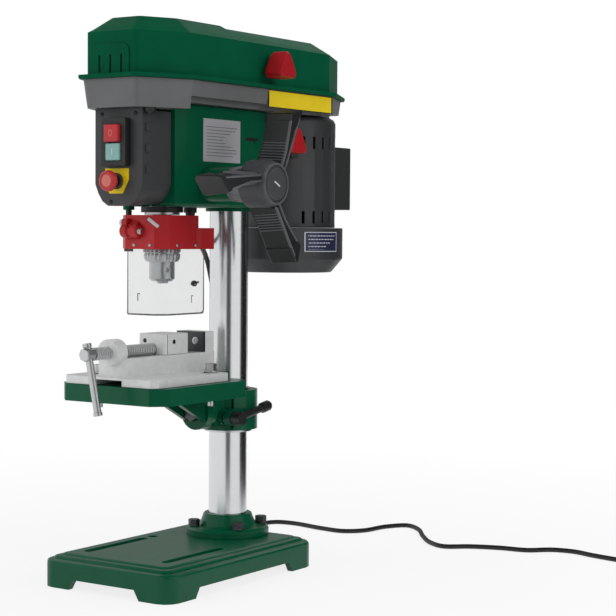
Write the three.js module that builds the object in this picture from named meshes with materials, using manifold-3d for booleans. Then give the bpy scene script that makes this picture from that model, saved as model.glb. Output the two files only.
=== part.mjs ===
// Benchtop drill press: an assembly of separate named pieces, in millimetres, +Z up.
// The machine is laid out round the column's axis, and the whole of it then stands at its place in the
// part's frame.
import * as THREE from 'three';
import { mergeVertices } from 'three/addons/utils/BufferGeometryUtils.js';
import Module from 'manifold-3d';

const wasm = await Module();
wasm.setup();

// Place of the column's axis in the part's frame
const COLUMN_X = -23.55;
const COLUMN_Y = 23;

// Clearances, and how finely round shapes are cut
const FIT = 0.3;
const SLIDE_FIT = 0.5;
const OVERRUN = 3;
const WELD = 1e-4;
const ROUND_SIDES = 26;
const MEDIUM_SIDES = 16;
const SMALL_SIDES = 10;
const HEX_SIDES = 6;
const CORNER_STEPS = 3;
const COVER_CORNER_STEPS = 2;

// Base
const BASE_WIDTH = 185;
const BASE_LENGTH = 279;
const BASE_REAR = 51;
const BASE_HEIGHT = 37;
const BASE_CORNER = 18;
const BASE_RIM_WIDTH = 20;
const BASE_RIM_RISE = 10;
const BASE_WALL = 7;
const FOOT_HEIGHT = 11.5;
const FOOT_FLARE = 7;
const FOOT_FRONT_LENGTH = 42;
const FOOT_SIDE_LENGTH = 47;
const BASE_SLOT_X = 56;
const BASE_SLOT_LENGTH = 108;
const BASE_SLOT_WIDTH = 11;
const BASE_SLOT_FROM_FRONT = 35;
const OIL_HOLE_RADIUS = 6;

// Column and its flange
const COLUMN_RADIUS = 23;
const COLUMN_WALL = 3;
const COLUMN_LENGTH = 472;
const FLANGE_RADIUS = 49.5;
const FLANGE_THICKNESS = 10;
const SOCKET_HEIGHT = 25;
const SOCKET_FOOT_RADIUS = 33;
const SOCKET_TOP_RADIUS = 29;
const FLANGE_BOLTS = 4;
const FLANGE_BOLT_CIRCLE = 42;
const FLANGE_BOLT_TURN = -126;
const FLANGE_BOLT_RADIUS = 4;
const FLANGE_BOLT_LENGTH = 22;
const BOLT_HEAD_RADIUS = 6.9;
const BOLT_HEAD_HEIGHT = 6.5;
const BOLT_WASHER_RADIUS = 7;
const BOLT_WASHER_THICKNESS = 1.6;

// Head casting
const THROAT = 127;
const COLUMN_IN_HEAD = 82.3;
const HEAD_HEIGHT = 114;
const HEAD_HALF_WIDTH = 44;
const HEAD_NOSE_HALF_WIDTH = 36;
const HEAD_NOSE_REACH = 23;
const HEAD_NOSE_TAPER = 28;
const HEAD_COLLAR_RADIUS = 28;
const HEAD_COLLAR_DROP = 4;
const SLEEVE_BORE_DEPTH = 21;
const FEED_BOSS_RADIUS = 19;
const FEED_BOSS_REACH = 82;
const SPRING_BOSS_RADIUS = 24.5;
const SPRING_BOSS_REACH = 50;
const EAR_X = 34;
const EAR_RADIUS = 11;
const EAR_DROP = 37;
const EAR_REACH = 48;
const EAR_BORE_DEPTH = 52;
const KNOB_BOSS_RADIUS = 9;
const KNOB_BOSS_INSET = 5;
const KNOB_BOSS_REACH = 54;

// Quill, spindle and chuck
const QUILL_RADIUS = 20;
const QUILL_HEADROOM = 8;
const QUILL_DROP = 9.5;
const QUILL_TOP_WALL = 12;
const RACK_FLAT = 1.5;
const COLLAR_RADIUS = 24;
const COLLAR_HEIGHT = 6.5;
const BEARING_RADIUS = 13;
const BEARING_HEIGHT = 12;
const BEARING_DEPTH = 2;
const SPINDLE_RADIUS = 7.5;
const SPINDLE_SHOULDER_RADIUS = 11;
const SPINDLE_SHOULDER = 5.5;
const SPINDLE_TAPER = 25;
const SPINDLE_ABOVE_HEAD = 46;
const CHUCK_LENGTH = 69;
const CHUCK_NOSE_RADIUS = 14.5;
const CHUCK_NOSE_LENGTH = 22;
const CHUCK_NOSE_CHAMFER = 3;
const CHUCK_CORE_RADIUS = 17;
const CHUCK_SLEEVE_RADIUS = 21.5;
const CHUCK_SLEEVE_LENGTH = 29.5;
const CHUCK_SLEEVE_BEVEL = 4;
const CHUCK_HEAD_RADIUS = 19;
const CHUCK_NECK_RADIUS = 13;
const CHUCK_NECK_LENGTH = 7;
const KEY_HOLE_RADIUS = 3;
const KEY_HOLE_DEPTH = 4;
const KEY_HOLE_UP = 13;
const JAWS = 3;
const JAW_RADIUS = 3.4;
const JAW_LENGTH = 34;
const JAW_TRAVEL = 16;
const JAW_TILT = 11.5;
const JAW_OFFSET = 3.2;
const JAW_PROUD = 2.5;

// Feed shaft and its three armed handle
const RACK_MODULE = 1.5;
const PINION_TEETH = 14;
const PINION_HALF_LENGTH = 9;
const TOOTH_BACKLASH = 0.5;
const FEED_HEIGHT = 25;
const FEED_SHAFT_RADIUS = 7;
const SPRING_CAP_RADIUS = 24;
const SPRING_CAP_LENGTH = 16;
const SPRING_CAP_WALL = 2.5;
const DEPTH_COLLAR_RADIUS = 20;
const DEPTH_COLLAR_LENGTH = 22.5;
const HUB_RADIUS = 27;
const HUB_FACE_RADIUS = 24;
const HUB_LENGTH = 32;
const HUB_CAP_RADIUS = 19;
const HUB_CAP_RISE = 2.5;
const HUB_SKIN = 8;
const ARMS = 3;
const ARM_TURN = 4;
const ARM_START = 20;
const ARM_WAIST = 46;
const ARM_HEEL = 84;
const ARM_REACH = 97;
const ARM_INNER_X = 102;
const ARM_INSET = 2;
const ARM_BACK = 12;
const ARM_BLADE = 9;
const ARM_TIP_HALF = 8;
const ARM_INNER_SPREAD = 3;

// Belt housing and lid
const COVER_FRONT = 216;
const COVER_REAR = 194;
const COVER_HALF_WIDTH = 64;
const COVER_FRONT_HALF = 35;
const COVER_REAR_HALF = 27;
const COVER_FRONT_TAPER = 58;
const COVER_REAR_TAPER = 76;
const COVER_CORNER = 7;
const COVER_WALL = 3;
const HOUSING_HEIGHT = 23.4;
const HOUSING_NOSE_DROP = 8;
const HOUSING_DRAFT = 4;
const HOUSING_LIP = 6;
const HOUSING_LIP_INSET = 9;
const HOUSING_NOSE_LENGTH = 58;
const HOUSING_PLUG_RADIUS = 5.5;
const HOUSING_PLUG_HEIGHT = 7;
const LID_WALL_HEIGHT = 51;
const LID_REAR_RISE = 15;
const LID_FRONT_RISE = 17.5;
const LID_BEVEL = 24;
const LID_SHOULDER = 8;
const LID_FRONT_LENGTH = 174;
const LID_RIM_WIDTH = 9;
const LID_RIM_HEIGHT = 4.5;
const LID_ARCH_HALF = 26;
const LID_ARCH_HEIGHT = 32;
const LID_ARCH_CORNER = 9;
const LID_ARCH_RISE = 1.4;
const LID_ARCH_UP = 5;
const LOUVRES = 3;
const LOUVRE_PITCH = 15.5;
const LOUVRE_WIDTH = 2.4;
const LOUVRE_HEIGHT = 20;
const HINGE_RADIUS = 4;
const HINGE_PIN_RADIUS = 2;
const HINGE_KNUCKLE = 12;
const HINGE_STATION = 90;
const HINGE_CLEAR = 1;
const KNOB_STEM_RADIUS = 4;
const KNOB_SIZE = 23.5;
const KNOB_CORNER = 4.5;
const KNOB_DEPTH = 24;
const KNOB_TAPER = 3;
const KNOB_STEM_GAP = 6;
const LID_KNOB_Y = 12;
const LID_KNOB_UP = 23.6;
const LATCH_WIDTH = 10;
const LATCH_THICKNESS = 4;
const LATCH_REACH = 28.6;

// Pulleys and belt
const PULLEY_SIDES = 14;
const PULLEY_STEPS = 5;
const PULLEY_STEP_HEIGHT = 11;
const PULLEY_STEP_CHANGE = 6;
const PULLEY_MIDDLE_RADIUS = 28;
const PULLEY_GROOVE = 4;
const PULLEY_GROOVE_HALF = 1.5;
const PULLEY_GAP = 4;
const PULLEY_SLEEVE_RADIUS = 12;
const PULLEY_SLEEVE_LENGTH = 20;
const BELT_INNER_HALF = 1.2;
const BELT_PROUD = 0.5;

// Motor
const MOTOR_Y = 118;
const MOTOR_RADIUS = 61.7;
const MOTOR_HEIGHT = 136;
const MOTOR_CORNER = 7;
const MOTOR_WALL = 3;
const MOTOR_CAP_RADIUS = 71.5;
const MOTOR_CAP_HEIGHT = 55;
const MOTOR_CAP_BEVEL = 17;
const MOTOR_CAP_TAPER = 14;
const MOTOR_VENTS = 26;
const MOTOR_VENT_WIDTH = 3.2;
const MOTOR_VENT_HEIGHT = 15;
const MOTOR_UPPER_VENT = 96;
const MOTOR_LOWER_VENT = 5;
const MOTOR_SHAFT_RADIUS = 7;
const ROTOR_RADIUS = 34;
const ROTOR_LENGTH = 70;
const ROTOR_UP = 30;
const SLIDE_BAR_RADIUS = 6;
const MOTOR_SADDLE_HALF = 46;
const MOTOR_SADDLE_HEIGHT = 30;
const MOTOR_SADDLE_Y = 65;
const MOTOR_TRAVEL = 10;
const CAPACITOR_HALF_WIDTH = 36;
const CAPACITOR_REACH = 34.3;
const CAPACITOR_HEIGHT = 79;
const CAPACITOR_UP = 23;
const CAPACITOR_CORNER = 4;

// Switch box
const SWITCH_DEPTH = 52.7;
const SWITCH_COVER_DEPTH = 14;
const SWITCH_HALF_WIDTH = 33.5;
const SWITCH_HEIGHT = 106.5;
const SWITCH_WALL = 2.5;
const SWITCH_STEP = 2;
const SWITCH_TAPER_SHARES = [[1, 0.226], [0.87, 0.131], [0.69, 0.047], [0.45, 0]];
const TABS = 3;
const TAB_HEIGHT = 8;
const TAB_DEPTH = 8;
const TAB_PROUD = 2.2;
const TAB_PITCH = 23;
const TAB_DOWN = 21;
const BEZEL_HALF_WIDTH = 17;
const BEZEL_HEIGHT = 52;
const BEZEL_DEPTH = 9;
const BEZEL_DOWN = 11;
const BUTTON_WIDTH = 20;
const BUTTON_HEIGHT = 19;
const BUTTON_PITCH = 20.3;
const BUTTON_DOWN = 7;
const BUTTON_CORNER = 1.5;
const BUTTON_LENGTH = 24;
const STOP_PROUD = 5;
const START_PROUD = 2;
const ESTOP_UP = 27;
const ESTOP_X = -1.5;
const ESTOP_STEM_RADIUS = 6;
const ESTOP_COLLAR_RADIUS = 9;
const ESTOP_COLLAR_HEIGHT = 4;
const ESTOP_GAP = 5;
const ESTOP_RADIUS = 11.6;
const ESTOP_THICKNESS = 10;
const ESTOP_STEM_LENGTH = 24;

// Chuck guard
const GUARD_PIVOT_X = 39;
const GUARD_PIVOT_Y = 12;
const GUARD_ROD_RADIUS = 3.5;
const GUARD_ROD_HEAD_RADIUS = 5.4;
const GUARD_ROD_HEAD = 3;
const GUARD_LUG_RADIUS = 6.5;
const GUARD_LUG_HEIGHT = 10;
const GUARD_LUG_DROP = 4;
const GUARD_TOP_DROP = 10;
const GUARD_HEIGHT = 38;
const GUARD_FRONT = 39;
const GUARD_SIDE = 32;
const GUARD_LEFT_SIDE = 33.5;
const GUARD_CHAMFER = 12;
const GUARD_LEFT_RETURN = 15;
const GUARD_RIGHT_BEHIND = 26;
const GUARD_OUTSET = 4;
const GUARD_ARM_LENGTH = 24;
const GUARD_ARM_HEIGHT = 24;
const GUARD_WALL = 2.6;
const GUARD_BOSS_RADIUS = 6.5;
const GUARD_SCREW_RADIUS = 4;
const SHIELD_WALL = 1.6;
const SHIELD_HEIGHT = 85;
const SHIELD_OVERLAP = 11;
const SHIELD_REACH = 41;

// Table bracket and table
const BRACKET_BELOW_HEAD = 263;
const BRACKET_HEIGHT = 47;
const BRACKET_RADIUS = 35;
const BUSH_WALL = 2.2;
const BUSH_LIP_RADIUS = 29;
const BUSH_LIP = 2.5;
const BRACKET_NECK_HALF = 17;
const BRACKET_NECK_HEIGHT = 34;
const BRACKET_FACE = 48;
const TILT_DISC_RADIUS = 20;
const TILT_DISC_THICKNESS = 8.5;
const TILT_UP = 23;
const CLAMP_BOSS_RADIUS = 9;
const CLAMP_BOSS_REACH = 35;
const CLAMP_Y = 36;
const CLAMP_UP = 17;
const CLAMP_SLIT = 3;
const CLAMP_SLIT_X = 24;
const CLAMP_SCREW_RADIUS = 4;
const CLAMP_SCREW_LENGTH = 24;
const CLAMP_HUB_RADIUS = 8;
const CLAMP_HUB_LENGTH = 13;
const CLAMP_ARM_LENGTH = 63;
const CLAMP_ARM_RADIUS = 4.5;
const CLAMP_GRIP_RADIUS = 6.5;
const CLAMP_GRIP_LENGTH = 18;
const CLAMP_RISE = 10;
const TABLE_RISE = 65.5;
const TABLE_HALF_WIDTH = 76;
const TABLE_FRONT = 222.7;
const TABLE_REAR = 53.5;
const TABLE_CHAMFER = 16;
const TABLE_DEPTH = 19;
const TABLE_PLATE = 9;
const TABLE_SKIRT = 6;
const TABLE_HOLE_RADIUS = 10;
const TABLE_SLOT_WIDTH = 13;
const TABLE_SLOT_NEAR = 34;
const TABLE_SLOT_FAR = 82;
const TABLE_ARM_HALF = 16;
const TABLE_ARM_REACH = 74;
const TILT_BOLT_RADIUS = 6;
const TILT_BOLT_HEAD = 8;
const TILT_BOLT_HEAD_RADIUS = 9.6;

// Vise
const VISE_HALF_WIDTH = 66;
const VISE_FRONT = 220.8;
const VISE_FLANGE_REAR = 83;
const VISE_FLANGE = 9;
const VISE_CHAMFER = 6.5;
const VISE_BODY_HALF = 20.7;
const VISE_BODY_HEIGHT = 30;
const VISE_BODY_REAR = 55;
const VISE_NOSE_LENGTH = 17;
const VISE_BODY_SETBACK = 9;
const VISE_CHANNEL_HALF = 9;
const VISE_ARCH_HALF = 20;
const VISE_ARCH_HEIGHT = 6.5;
const VISE_EAR_SLOT_X = 44.6;
const VISE_BOLT_REAR = 93.5;
const VISE_BOLT_FRONT = 182.7;
const VISE_EAR_SLOT_LENGTH = 30;
const VISE_EAR_SLOT_WIDTH = 10;
const SCREW_SIDES = 8;
const SCREW_HEIGHT = 36;
const SCREW_RADIUS = 6.5;
const SCREW_BOSS_RADIUS = 15;
const SCREW_THREAD = 1.2;
const SCREW_PITCH = 6;
const SCREW_HEAD_RADIUS = 7.5;
const SCREW_HEAD_LENGTH = 14;
const SCREW_HEAD_REACH = 39.2;
const SCREW_TIP = 14;
const JAW_HALF = 19.5;
const MOVING_JAW_LENGTH = 43.5;
const MOVING_JAW_HEIGHT = 20;
const FIXED_JAW_LENGTH = 16;
const JAW_PLATE_THICKNESS = 4;
const JAW_GAP = 26.3;
const JAW_RISE = 3.5;
const TOMMY_RADIUS = 4.2;
const TOMMY_LENGTH = 71;
const TOMMY_DROP = 63;
const TOMMY_LEAN = 12;
const TOMMY_END_RADIUS = 5;
const TOMMY_END_LENGTH = 4;
const TOMMY_PLACE_SHARE = 0.57;
const VISE_BOLT_RADIUS = 4;
const VISE_BOLT_BELOW = 10;
const VISE_NUT_RADIUS = 6.6;
const VISE_NUT_HEIGHT = 8;
const VISE_WASHER_RADIUS = 8;
const VISE_WASHER_THICKNESS = 2;

// Mains cord, laid along points of the part's own frame
const CORD_RADIUS = 3;
const CORD_SIDES = 8;
const CORD_STEPS = 68;
const GLAND_X = 12;
const GLAND_Y = 60;
const GLAND_RADIUS = 8;
const GLAND_HEIGHT = 6;
const GLAND_TAPER = 12;
const GLAND_TIP_RADIUS = 4.2;
const GLAND_NECK_SHARE = 0.75;
const COIL_X = 458;
const COIL_Y = 334;
const COIL_OUTER_RADIUS = 38;
const COIL_PITCH = 7.6;
const COIL_TURNS_IN = 1.25;
const COIL_CLIMB_TURNS = 0.5;
const COIL_LOOP_STEPS = 24;
const COIL_SIDES = 6;
const COIL_TAIL = 56;
const PLUG_RADIUS = 18.5;
const PLUG_BODY = 34;
const PLUG_NECK = 26;
const PLUG_NECK_RADIUS = 6.5;
const PLUG_NECK_SHARE = 0.6;
const PLUG_SHOULDER_SHARE = 0.7;
const PLUG_PIN_RADIUS = 2.4;
const PLUG_PIN_LENGTH = 19;
const PLUG_PIN_HALF_PITCH = 9.5;

// Heights and places that follow from the sizes above
const FLANGE_BOTTOM = BASE_HEIGHT + FIT;
const COLUMN_BOTTOM = BASE_HEIGHT + FIT;
const COLUMN_TOP = COLUMN_BOTTOM + COLUMN_LENGTH;
const HEAD_BOTTOM = COLUMN_TOP - COLUMN_IN_HEAD;
const HEAD_TOP = HEAD_BOTTOM + HEAD_HEIGHT;
const HEAD_NOSE_Y = -THROAT - HEAD_NOSE_REACH;
const SWITCH_FRONT = HEAD_NOSE_Y - FIT - SWITCH_DEPTH;
const HOUSING_BOTTOM = HEAD_TOP + FIT;
const HOUSING_TOP = HOUSING_BOTTOM + HOUSING_HEIGHT;
const HOUSING_NOSE_BOTTOM = HOUSING_BOTTOM - HOUSING_NOSE_DROP;
const LID_BOTTOM = HOUSING_TOP + FIT;
const LID_SHOULDER_Z = LID_BOTTOM + LID_WALL_HEIGHT;
const SWITCH_TOP = HOUSING_NOSE_BOTTOM - FIT;
const SWITCH_BOTTOM = SWITCH_TOP - SWITCH_HEIGHT;
const QUILL_BOTTOM = HEAD_BOTTOM - QUILL_DROP;
const QUILL_ROOF = HEAD_TOP - SLEEVE_BORE_DEPTH;
const QUILL_TOP = QUILL_ROOF - QUILL_HEADROOM;
const CHUCK_TOP = QUILL_BOTTOM - SPINDLE_SHOULDER - 2 * FIT;
const CHUCK_BOTTOM = CHUCK_TOP - CHUCK_LENGTH;
const RACK_TIP = QUILL_RADIUS - RACK_FLAT;
const PINION_RADIUS = RACK_MODULE * PINION_TEETH / 2;
const FEED_Y = -THROAT + RACK_TIP - RACK_MODULE + PINION_RADIUS;
const FEED_Z = HEAD_BOTTOM + FEED_HEIGHT;
const EAR_Z = HEAD_TOP - EAR_DROP;
const KNOB_BOSS_Y = EAR_REACH - KNOB_BOSS_RADIUS - KNOB_BOSS_INSET;
const PULLEY_BOTTOM = HOUSING_BOTTOM + COVER_WALL + PULLEY_GAP;
const PULLEY_HEIGHT = PULLEY_STEPS * PULLEY_STEP_HEIGHT;
const BELT_Z = PULLEY_BOTTOM + PULLEY_HEIGHT / 2;
const MOTOR_TOP = HEAD_TOP - SLIDE_FIT;
const MOTOR_BOTTOM = MOTOR_TOP - MOTOR_HEIGHT;
const GUARD_TOP = HEAD_BOTTOM - GUARD_TOP_DROP;
const GUARD_BOTTOM = GUARD_TOP - GUARD_HEIGHT;
const GUARD_LUG_TOP = HEAD_BOTTOM - GUARD_LUG_DROP + GUARD_LUG_HEIGHT;
const BRACKET_BOTTOM = HEAD_BOTTOM - BRACKET_BELOW_HEAD;
const BRACKET_TOP = BRACKET_BOTTOM + BRACKET_HEIGHT;
const TABLE_TOP = BRACKET_BOTTOM + TABLE_RISE;
const BUSH_RADIUS = COLUMN_RADIUS + FIT + BUSH_WALL;
const TILT_Z = BRACKET_BOTTOM + TILT_UP;
const CLAMP_Z = BRACKET_BOTTOM + CLAMP_UP;
const VISE_BOTTOM = TABLE_TOP + FIT;
const VISE_BODY_TOP = VISE_BOTTOM + VISE_BODY_HEIGHT;
const SCREW_Z = VISE_BOTTOM + SCREW_HEIGHT;
const FIXED_JAW_FACE = -VISE_BODY_REAR - FIXED_JAW_LENGTH;
const MOVING_JAW_FACE = FIXED_JAW_FACE - JAW_PLATE_THICKNESS - FIT - JAW_GAP;
const JAW_TOP = VISE_BODY_TOP + JAW_RISE + MOVING_JAW_HEIGHT;
const GLAND_BOTTOM = HEAD_BOTTOM - FIT - GLAND_HEIGHT - GLAND_TAPER;

// Points that the free cord follows, from the gland to the coil
const CORD_POINTS = [
  [-35.55, -37, 408.4], [-35.55, -37, 402], [-37.5, -33, 395.5], [-47, -12, 388], [-61, 18, 380], [-74, 46,
    364],
  [-75.5, 60, 330], [-73, 70, 296], [-68, 90, 240], [-66, 101, 170], [-69, 106, 100], [-74, 113, 50],
  [-81, 125, 20], [-88, 139, 7], [-96, 156, 3.4], [-110, 188, 3.3], [-128, 230, 3.3], [-139, 258, 3.3],
  [-132, 279, 3.3], [-108, 285, 3.3], [-54, 275, 3.3], [-20, 274, 3.3], [0, 294, 3.3], [8, 336, 3.3],
  [26, 362, 3.3], [52, 347, 3.3], [86, 303, 3.3], [116, 270, 3.3], [143, 257, 3.3], [170, 276, 3.3],
  [206, 290, 3.3], [240, 296, 3.3], [264, 317, 3.3], [292, 322, 3.3], [321, 313, 3.3], [357, 305, 3.3],
  [400, 298, 3.3], [430, 296, 3.3], [440, 296, 3.3], [448, 296, 3.3],
];

// Materials
function finish(color, roughness, metalness) {
  return new THREE.MeshStandardMaterial({ color, roughness, metalness });
}

const GREEN = finish(0x0e6b45, 0.35, 0);
const GREY_PAINT = finish(0x66686a, 0.45, 0);
const DARK_PLASTIC = finish(0x4a4b4e, 0.55, 0);
const BLACK = finish(0x151516, 0.6, 0);
const STEEL = finish(0xc4c6c8, 0.25, 1);
const DARK_STEEL = finish(0x3c3d3f, 0.4, 1);
const CAST_ALUMINIUM = finish(0xd0d1d2, 0.45, 1);
const RED = finish(0xc8322c, 0.4, 0);
const TEAL = finish(0x57a9a2, 0.4, 0);
const CLEAR = new THREE.MeshStandardMaterial({ color: 0xe8edf0, roughness: 0.05, transparent: true,
  opacity: 0.3 });

// Joins and cuts

function solidOf(geometry) {
  const bare = geometry.index ? geometry.toNonIndexed() : geometry.clone();
  bare.deleteAttribute('normal');
  bare.deleteAttribute('uv');
  const merged = mergeVertices(bare, WELD);
  const vertProperties = merged.attributes.position.array;
  const triVerts = new Uint32Array(merged.index.array);
  return new wasm.Manifold(new wasm.Mesh({ numProp: 3, vertProperties, triVerts }));
}

function geometryOf(solid) {
  const mesh = solid.getMesh();
  const geometry = new THREE.BufferGeometry();
  geometry.setAttribute('position', new THREE.BufferAttribute(new Float32Array(mesh.vertProperties), 3));
  geometry.setIndex(Array.from(mesh.triVerts));
  return geometry;
}

function join(first, ...others) {
  let solid = solidOf(first);
  for (const other of others) solid = solid.add(solidOf(other));
  return geometryOf(solid);
}

function cut(body, ...tools) {
  let solid = solidOf(body);
  for (const tool of tools) solid = solid.subtract(solidOf(tool));
  return geometryOf(solid);
}

function common(first, second) {
  return geometryOf(solidOf(first).intersect(solidOf(second)));
}

// Plain shapes

function block(x0, x1, y0, y1, z0, z1) {
  const box = new THREE.BoxGeometry(x1 - x0, y1 - y0, z1 - z0);
  return box.translate((x0 + x1) / 2, (y0 + y1) / 2, (z0 + z1) / 2);
}

// A solid turned from a profile of [radius, height] points, standing on the point x, y, or lying along an
// axis
function turned(profile, sides) {
  const points = profile.map(([radius, height]) => new THREE.Vector2(radius, height));
  return new THREE.LatheGeometry(points, sides).rotateX(Math.PI / 2);
}

function upright(profile, x, y, sides = ROUND_SIDES) {
  return turned(profile, sides).translate(x, y, 0);
}

function alongX(profile, y, z, sides = ROUND_SIDES) {
  return turned(profile, sides).rotateY(Math.PI / 2).translate(0, y, z);
}

function alongY(profile, x, z, sides = ROUND_SIDES) {
  return turned(profile, sides).rotateX(-Math.PI / 2).translate(x, 0, z);
}

function bar(radius, from, to) {
  return [[0, from], [radius, from], [radius, to], [0, to]];
}

function ring(inner, outer, from, to) {
  return [[inner, from], [outer, from], [outer, to], [inner, to], [inner, from]];
}

// Extrusions of an outline: upright from [x, y], along X from [y, z], along Y from [z, x]
function extruded(outline, length) {
  const shape = new THREE.Shape(outline.map(([u, v]) => new THREE.Vector2(u, v)));
  return new THREE.ExtrudeGeometry(shape, { depth: length, bevelEnabled: false });
}

function prism(outline, z0, z1) {
  return extruded(outline, z1 - z0).translate(0, 0, z0);
}

function prismX(outline, x0, x1) {
  const turn = new THREE.Matrix4().makeBasis(
    new THREE.Vector3(0, 1, 0), new THREE.Vector3(0, 0, 1), new THREE.Vector3(1, 0, 0));
  return extruded(outline, x1 - x0).applyMatrix4(turn).translate(x0, 0, 0);
}

function prismY(outline, y0, y1) {
  const turn = new THREE.Matrix4().makeBasis(
    new THREE.Vector3(0, 0, 1), new THREE.Vector3(1, 0, 0), new THREE.Vector3(0, 1, 0));
  return extruded(outline.map(([x, z]) => [z, x]), y1 - y0).applyMatrix4(turn).translate(0, y0, 0);
}

// The triangles that fill one ring of 3-D points, in the ring's own winding
function fill(ring) {
  const normal = new THREE.Vector3();
  ring.forEach((point, i) => {
    const next = new THREE.Vector3(...ring[(i + 1) % ring.length]);
    normal.add(new THREE.Vector3(...point).cross(next));
  });
  const sizes = normal.toArray().map(Math.abs);
  const drop = sizes.indexOf(Math.max(...sizes));
  const flat = ring.map((point) => new THREE.Vector2(point[(drop + 1) % 3], point[(drop + 2) % 3]));
  const faces = THREE.ShapeUtils.triangulateShape(flat, []);
  const turn = (a, b, c) => flat[b].clone().sub(flat[a]).cross(flat[c].clone().sub(flat[a]));
  const same = Math.sign(faces.reduce((sum, face) => sum + turn(...face),
    0)) === Math.sign(THREE.ShapeUtils.area(flat));
  return faces.map(([a, b, c]) => (same ? [a, b, c] : [a, c, b]));
}

// A solid through rings of 3-D points, each ring with as many points as the next, filled at both ends
function loft(rings) {
  const count = rings[0].length;
  const last = rings[rings.length - 1];
  const positions = [];
  const put = (...corners) => corners.forEach((corner) => positions.push(...corner));
  for (let r = 0; r + 1 < rings.length; r += 1) {
    for (let i = 0; i < count; i += 1) {
      const j = (i + 1) % count;
      put(rings[r][i], rings[r][j], rings[r + 1][j]);
      put(rings[r][i], rings[r + 1][j], rings[r + 1][i]);
    }
  }
  fill(rings[0]).forEach(([a, b, c]) => put(rings[0][a], rings[0][c], rings[0][b]));
  fill(last).forEach(([a, b, c]) => put(last[a], last[b], last[c]));
  const geometry = new THREE.BufferGeometry();
  return geometry.setAttribute('position', new THREE.Float32BufferAttribute(positions, 3));
}

function levels(steps) {
  return loft(steps.map(([outline, z]) => outline.map(([x, y]) => [x, y, z])));
}

// Outlines

function rounded(outline, radius, steps = CORNER_STEPS) {
  const points = [];
  outline.forEach((corner, i) => {
    const here = new THREE.Vector2(...corner);
    const before = new THREE.Vector2(...outline[(i + outline.length - 1) % outline.length]).sub(
      here).normalize();
    const after = new THREE.Vector2(...outline[(i + 1) % outline.length]).sub(here).normalize();
    const half = Math.acos(THREE.MathUtils.clamp(before.dot(after), -1, 1)) / 2;
    const centre = before.clone().add(after).normalize().multiplyScalar(radius / Math.sin(half)).add(here);
    const start = before.clone().multiplyScalar(radius / Math.tan(half)).add(here).sub(centre);
    const end = after.clone().multiplyScalar(radius / Math.tan(half)).add(here).sub(centre);
    const sweep = Math.atan2(start.cross(end), start.dot(end));
    for (let k = 0; k <= steps; k += 1) {
      const spoke = start.clone().rotateAround(new THREE.Vector2(), sweep * k / steps);
      points.push([centre.x + spoke.x, centre.y + spoke.y]);
    }
  });
  return points;
}

function rectangle(x0, x1, y0, y1) {
  return [[x0, y0], [x1, y0], [x1, y1], [x0, y1]];
}

// The outline moved outwards by a distance, with mitred corners; it runs anticlockwise
function grown(outline, distance) {
  return outline.map((corner, i) => {
    const here = new THREE.Vector2(...corner);
    const before = new THREE.Vector2(...outline[(i + outline.length - 1) % outline.length]);
    const after = new THREE.Vector2(...outline[(i + 1) % outline.length]);
    const inward = here.clone().sub(before).normalize();
    const outward = after.sub(here).normalize();
    const normal = new THREE.Vector2(inward.y + outward.y, -inward.x - outward.x);
    const reach = 2 * distance / normal.lengthSq();
    return [here.x + normal.x * reach, here.y + normal.y * reach];
  });
}

// A wall of some thickness to the left of a path of points
function wallOutline(path, thickness) {
  const far = path.map((corner, i) => {
    const here = new THREE.Vector2(...corner);
    const before = i ? new THREE.Vector2(...path[i - 1]) : null;
    const after = i + 1 < path.length ? new THREE.Vector2(...path[i + 1]) : null;
    const into = (before ? here.clone().sub(before) : after.clone().sub(here)).normalize();
    const out = (after ? after.clone().sub(here) : here.clone().sub(before)).normalize();
    const normal = new THREE.Vector2(-into.y - out.y, into.x + out.x);
    const reach = 2 * thickness / normal.lengthSq();
    return [here.x + normal.x * reach, here.y + normal.y * reach];
  });
  return [...path, ...far.reverse()];
}

function slotOutline(x, y, length, width, turn) {
  const half = (length - width) / 2;
  const points = [];
  for (let k = 0; k <= 2 * CORNER_STEPS + 1; k += 1) {
    const side = k <= CORNER_STEPS ? 1 : -1;
    const step = k <= CORNER_STEPS ? k : k - 1;
    const angle = -Math.PI / 2 + Math.PI * step / CORNER_STEPS;
    points.push(new THREE.Vector2(side * half + width / 2 * Math.cos(angle), width / 2 * Math.sin(angle)));
  }
  return points.map((p) => {
    p.rotateAround(new THREE.Vector2(), THREE.MathUtils.degToRad(turn));
    return [p.x + x, p.y + y];
  });
}

function piece(name, geometry, material) {
  const plain = geometry.index ? geometry.toNonIndexed() : geometry;
  plain.computeVertexNormals();
  const mesh = new THREE.Mesh(plain, material);
  mesh.name = name;
  return mesh;
}

// Base: a ribbed rim round a flat panel, hollow below, with a foot at each corner
const BASE_RIM_SHARES = [
  [0, 0], [0.05, 0.26], [0.17, 0.4], [0.38, 0.44], [0.47, 0.68], [0.6, 0.76], [0.78, 0.78], [0.87, 0.95],
    [1, 1],
];

function baseOutline() {
  const half = BASE_WIDTH / 2;
  return rounded(rectangle(-half, half, BASE_REAR - BASE_LENGTH, BASE_REAR), BASE_CORNER);
}

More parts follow.
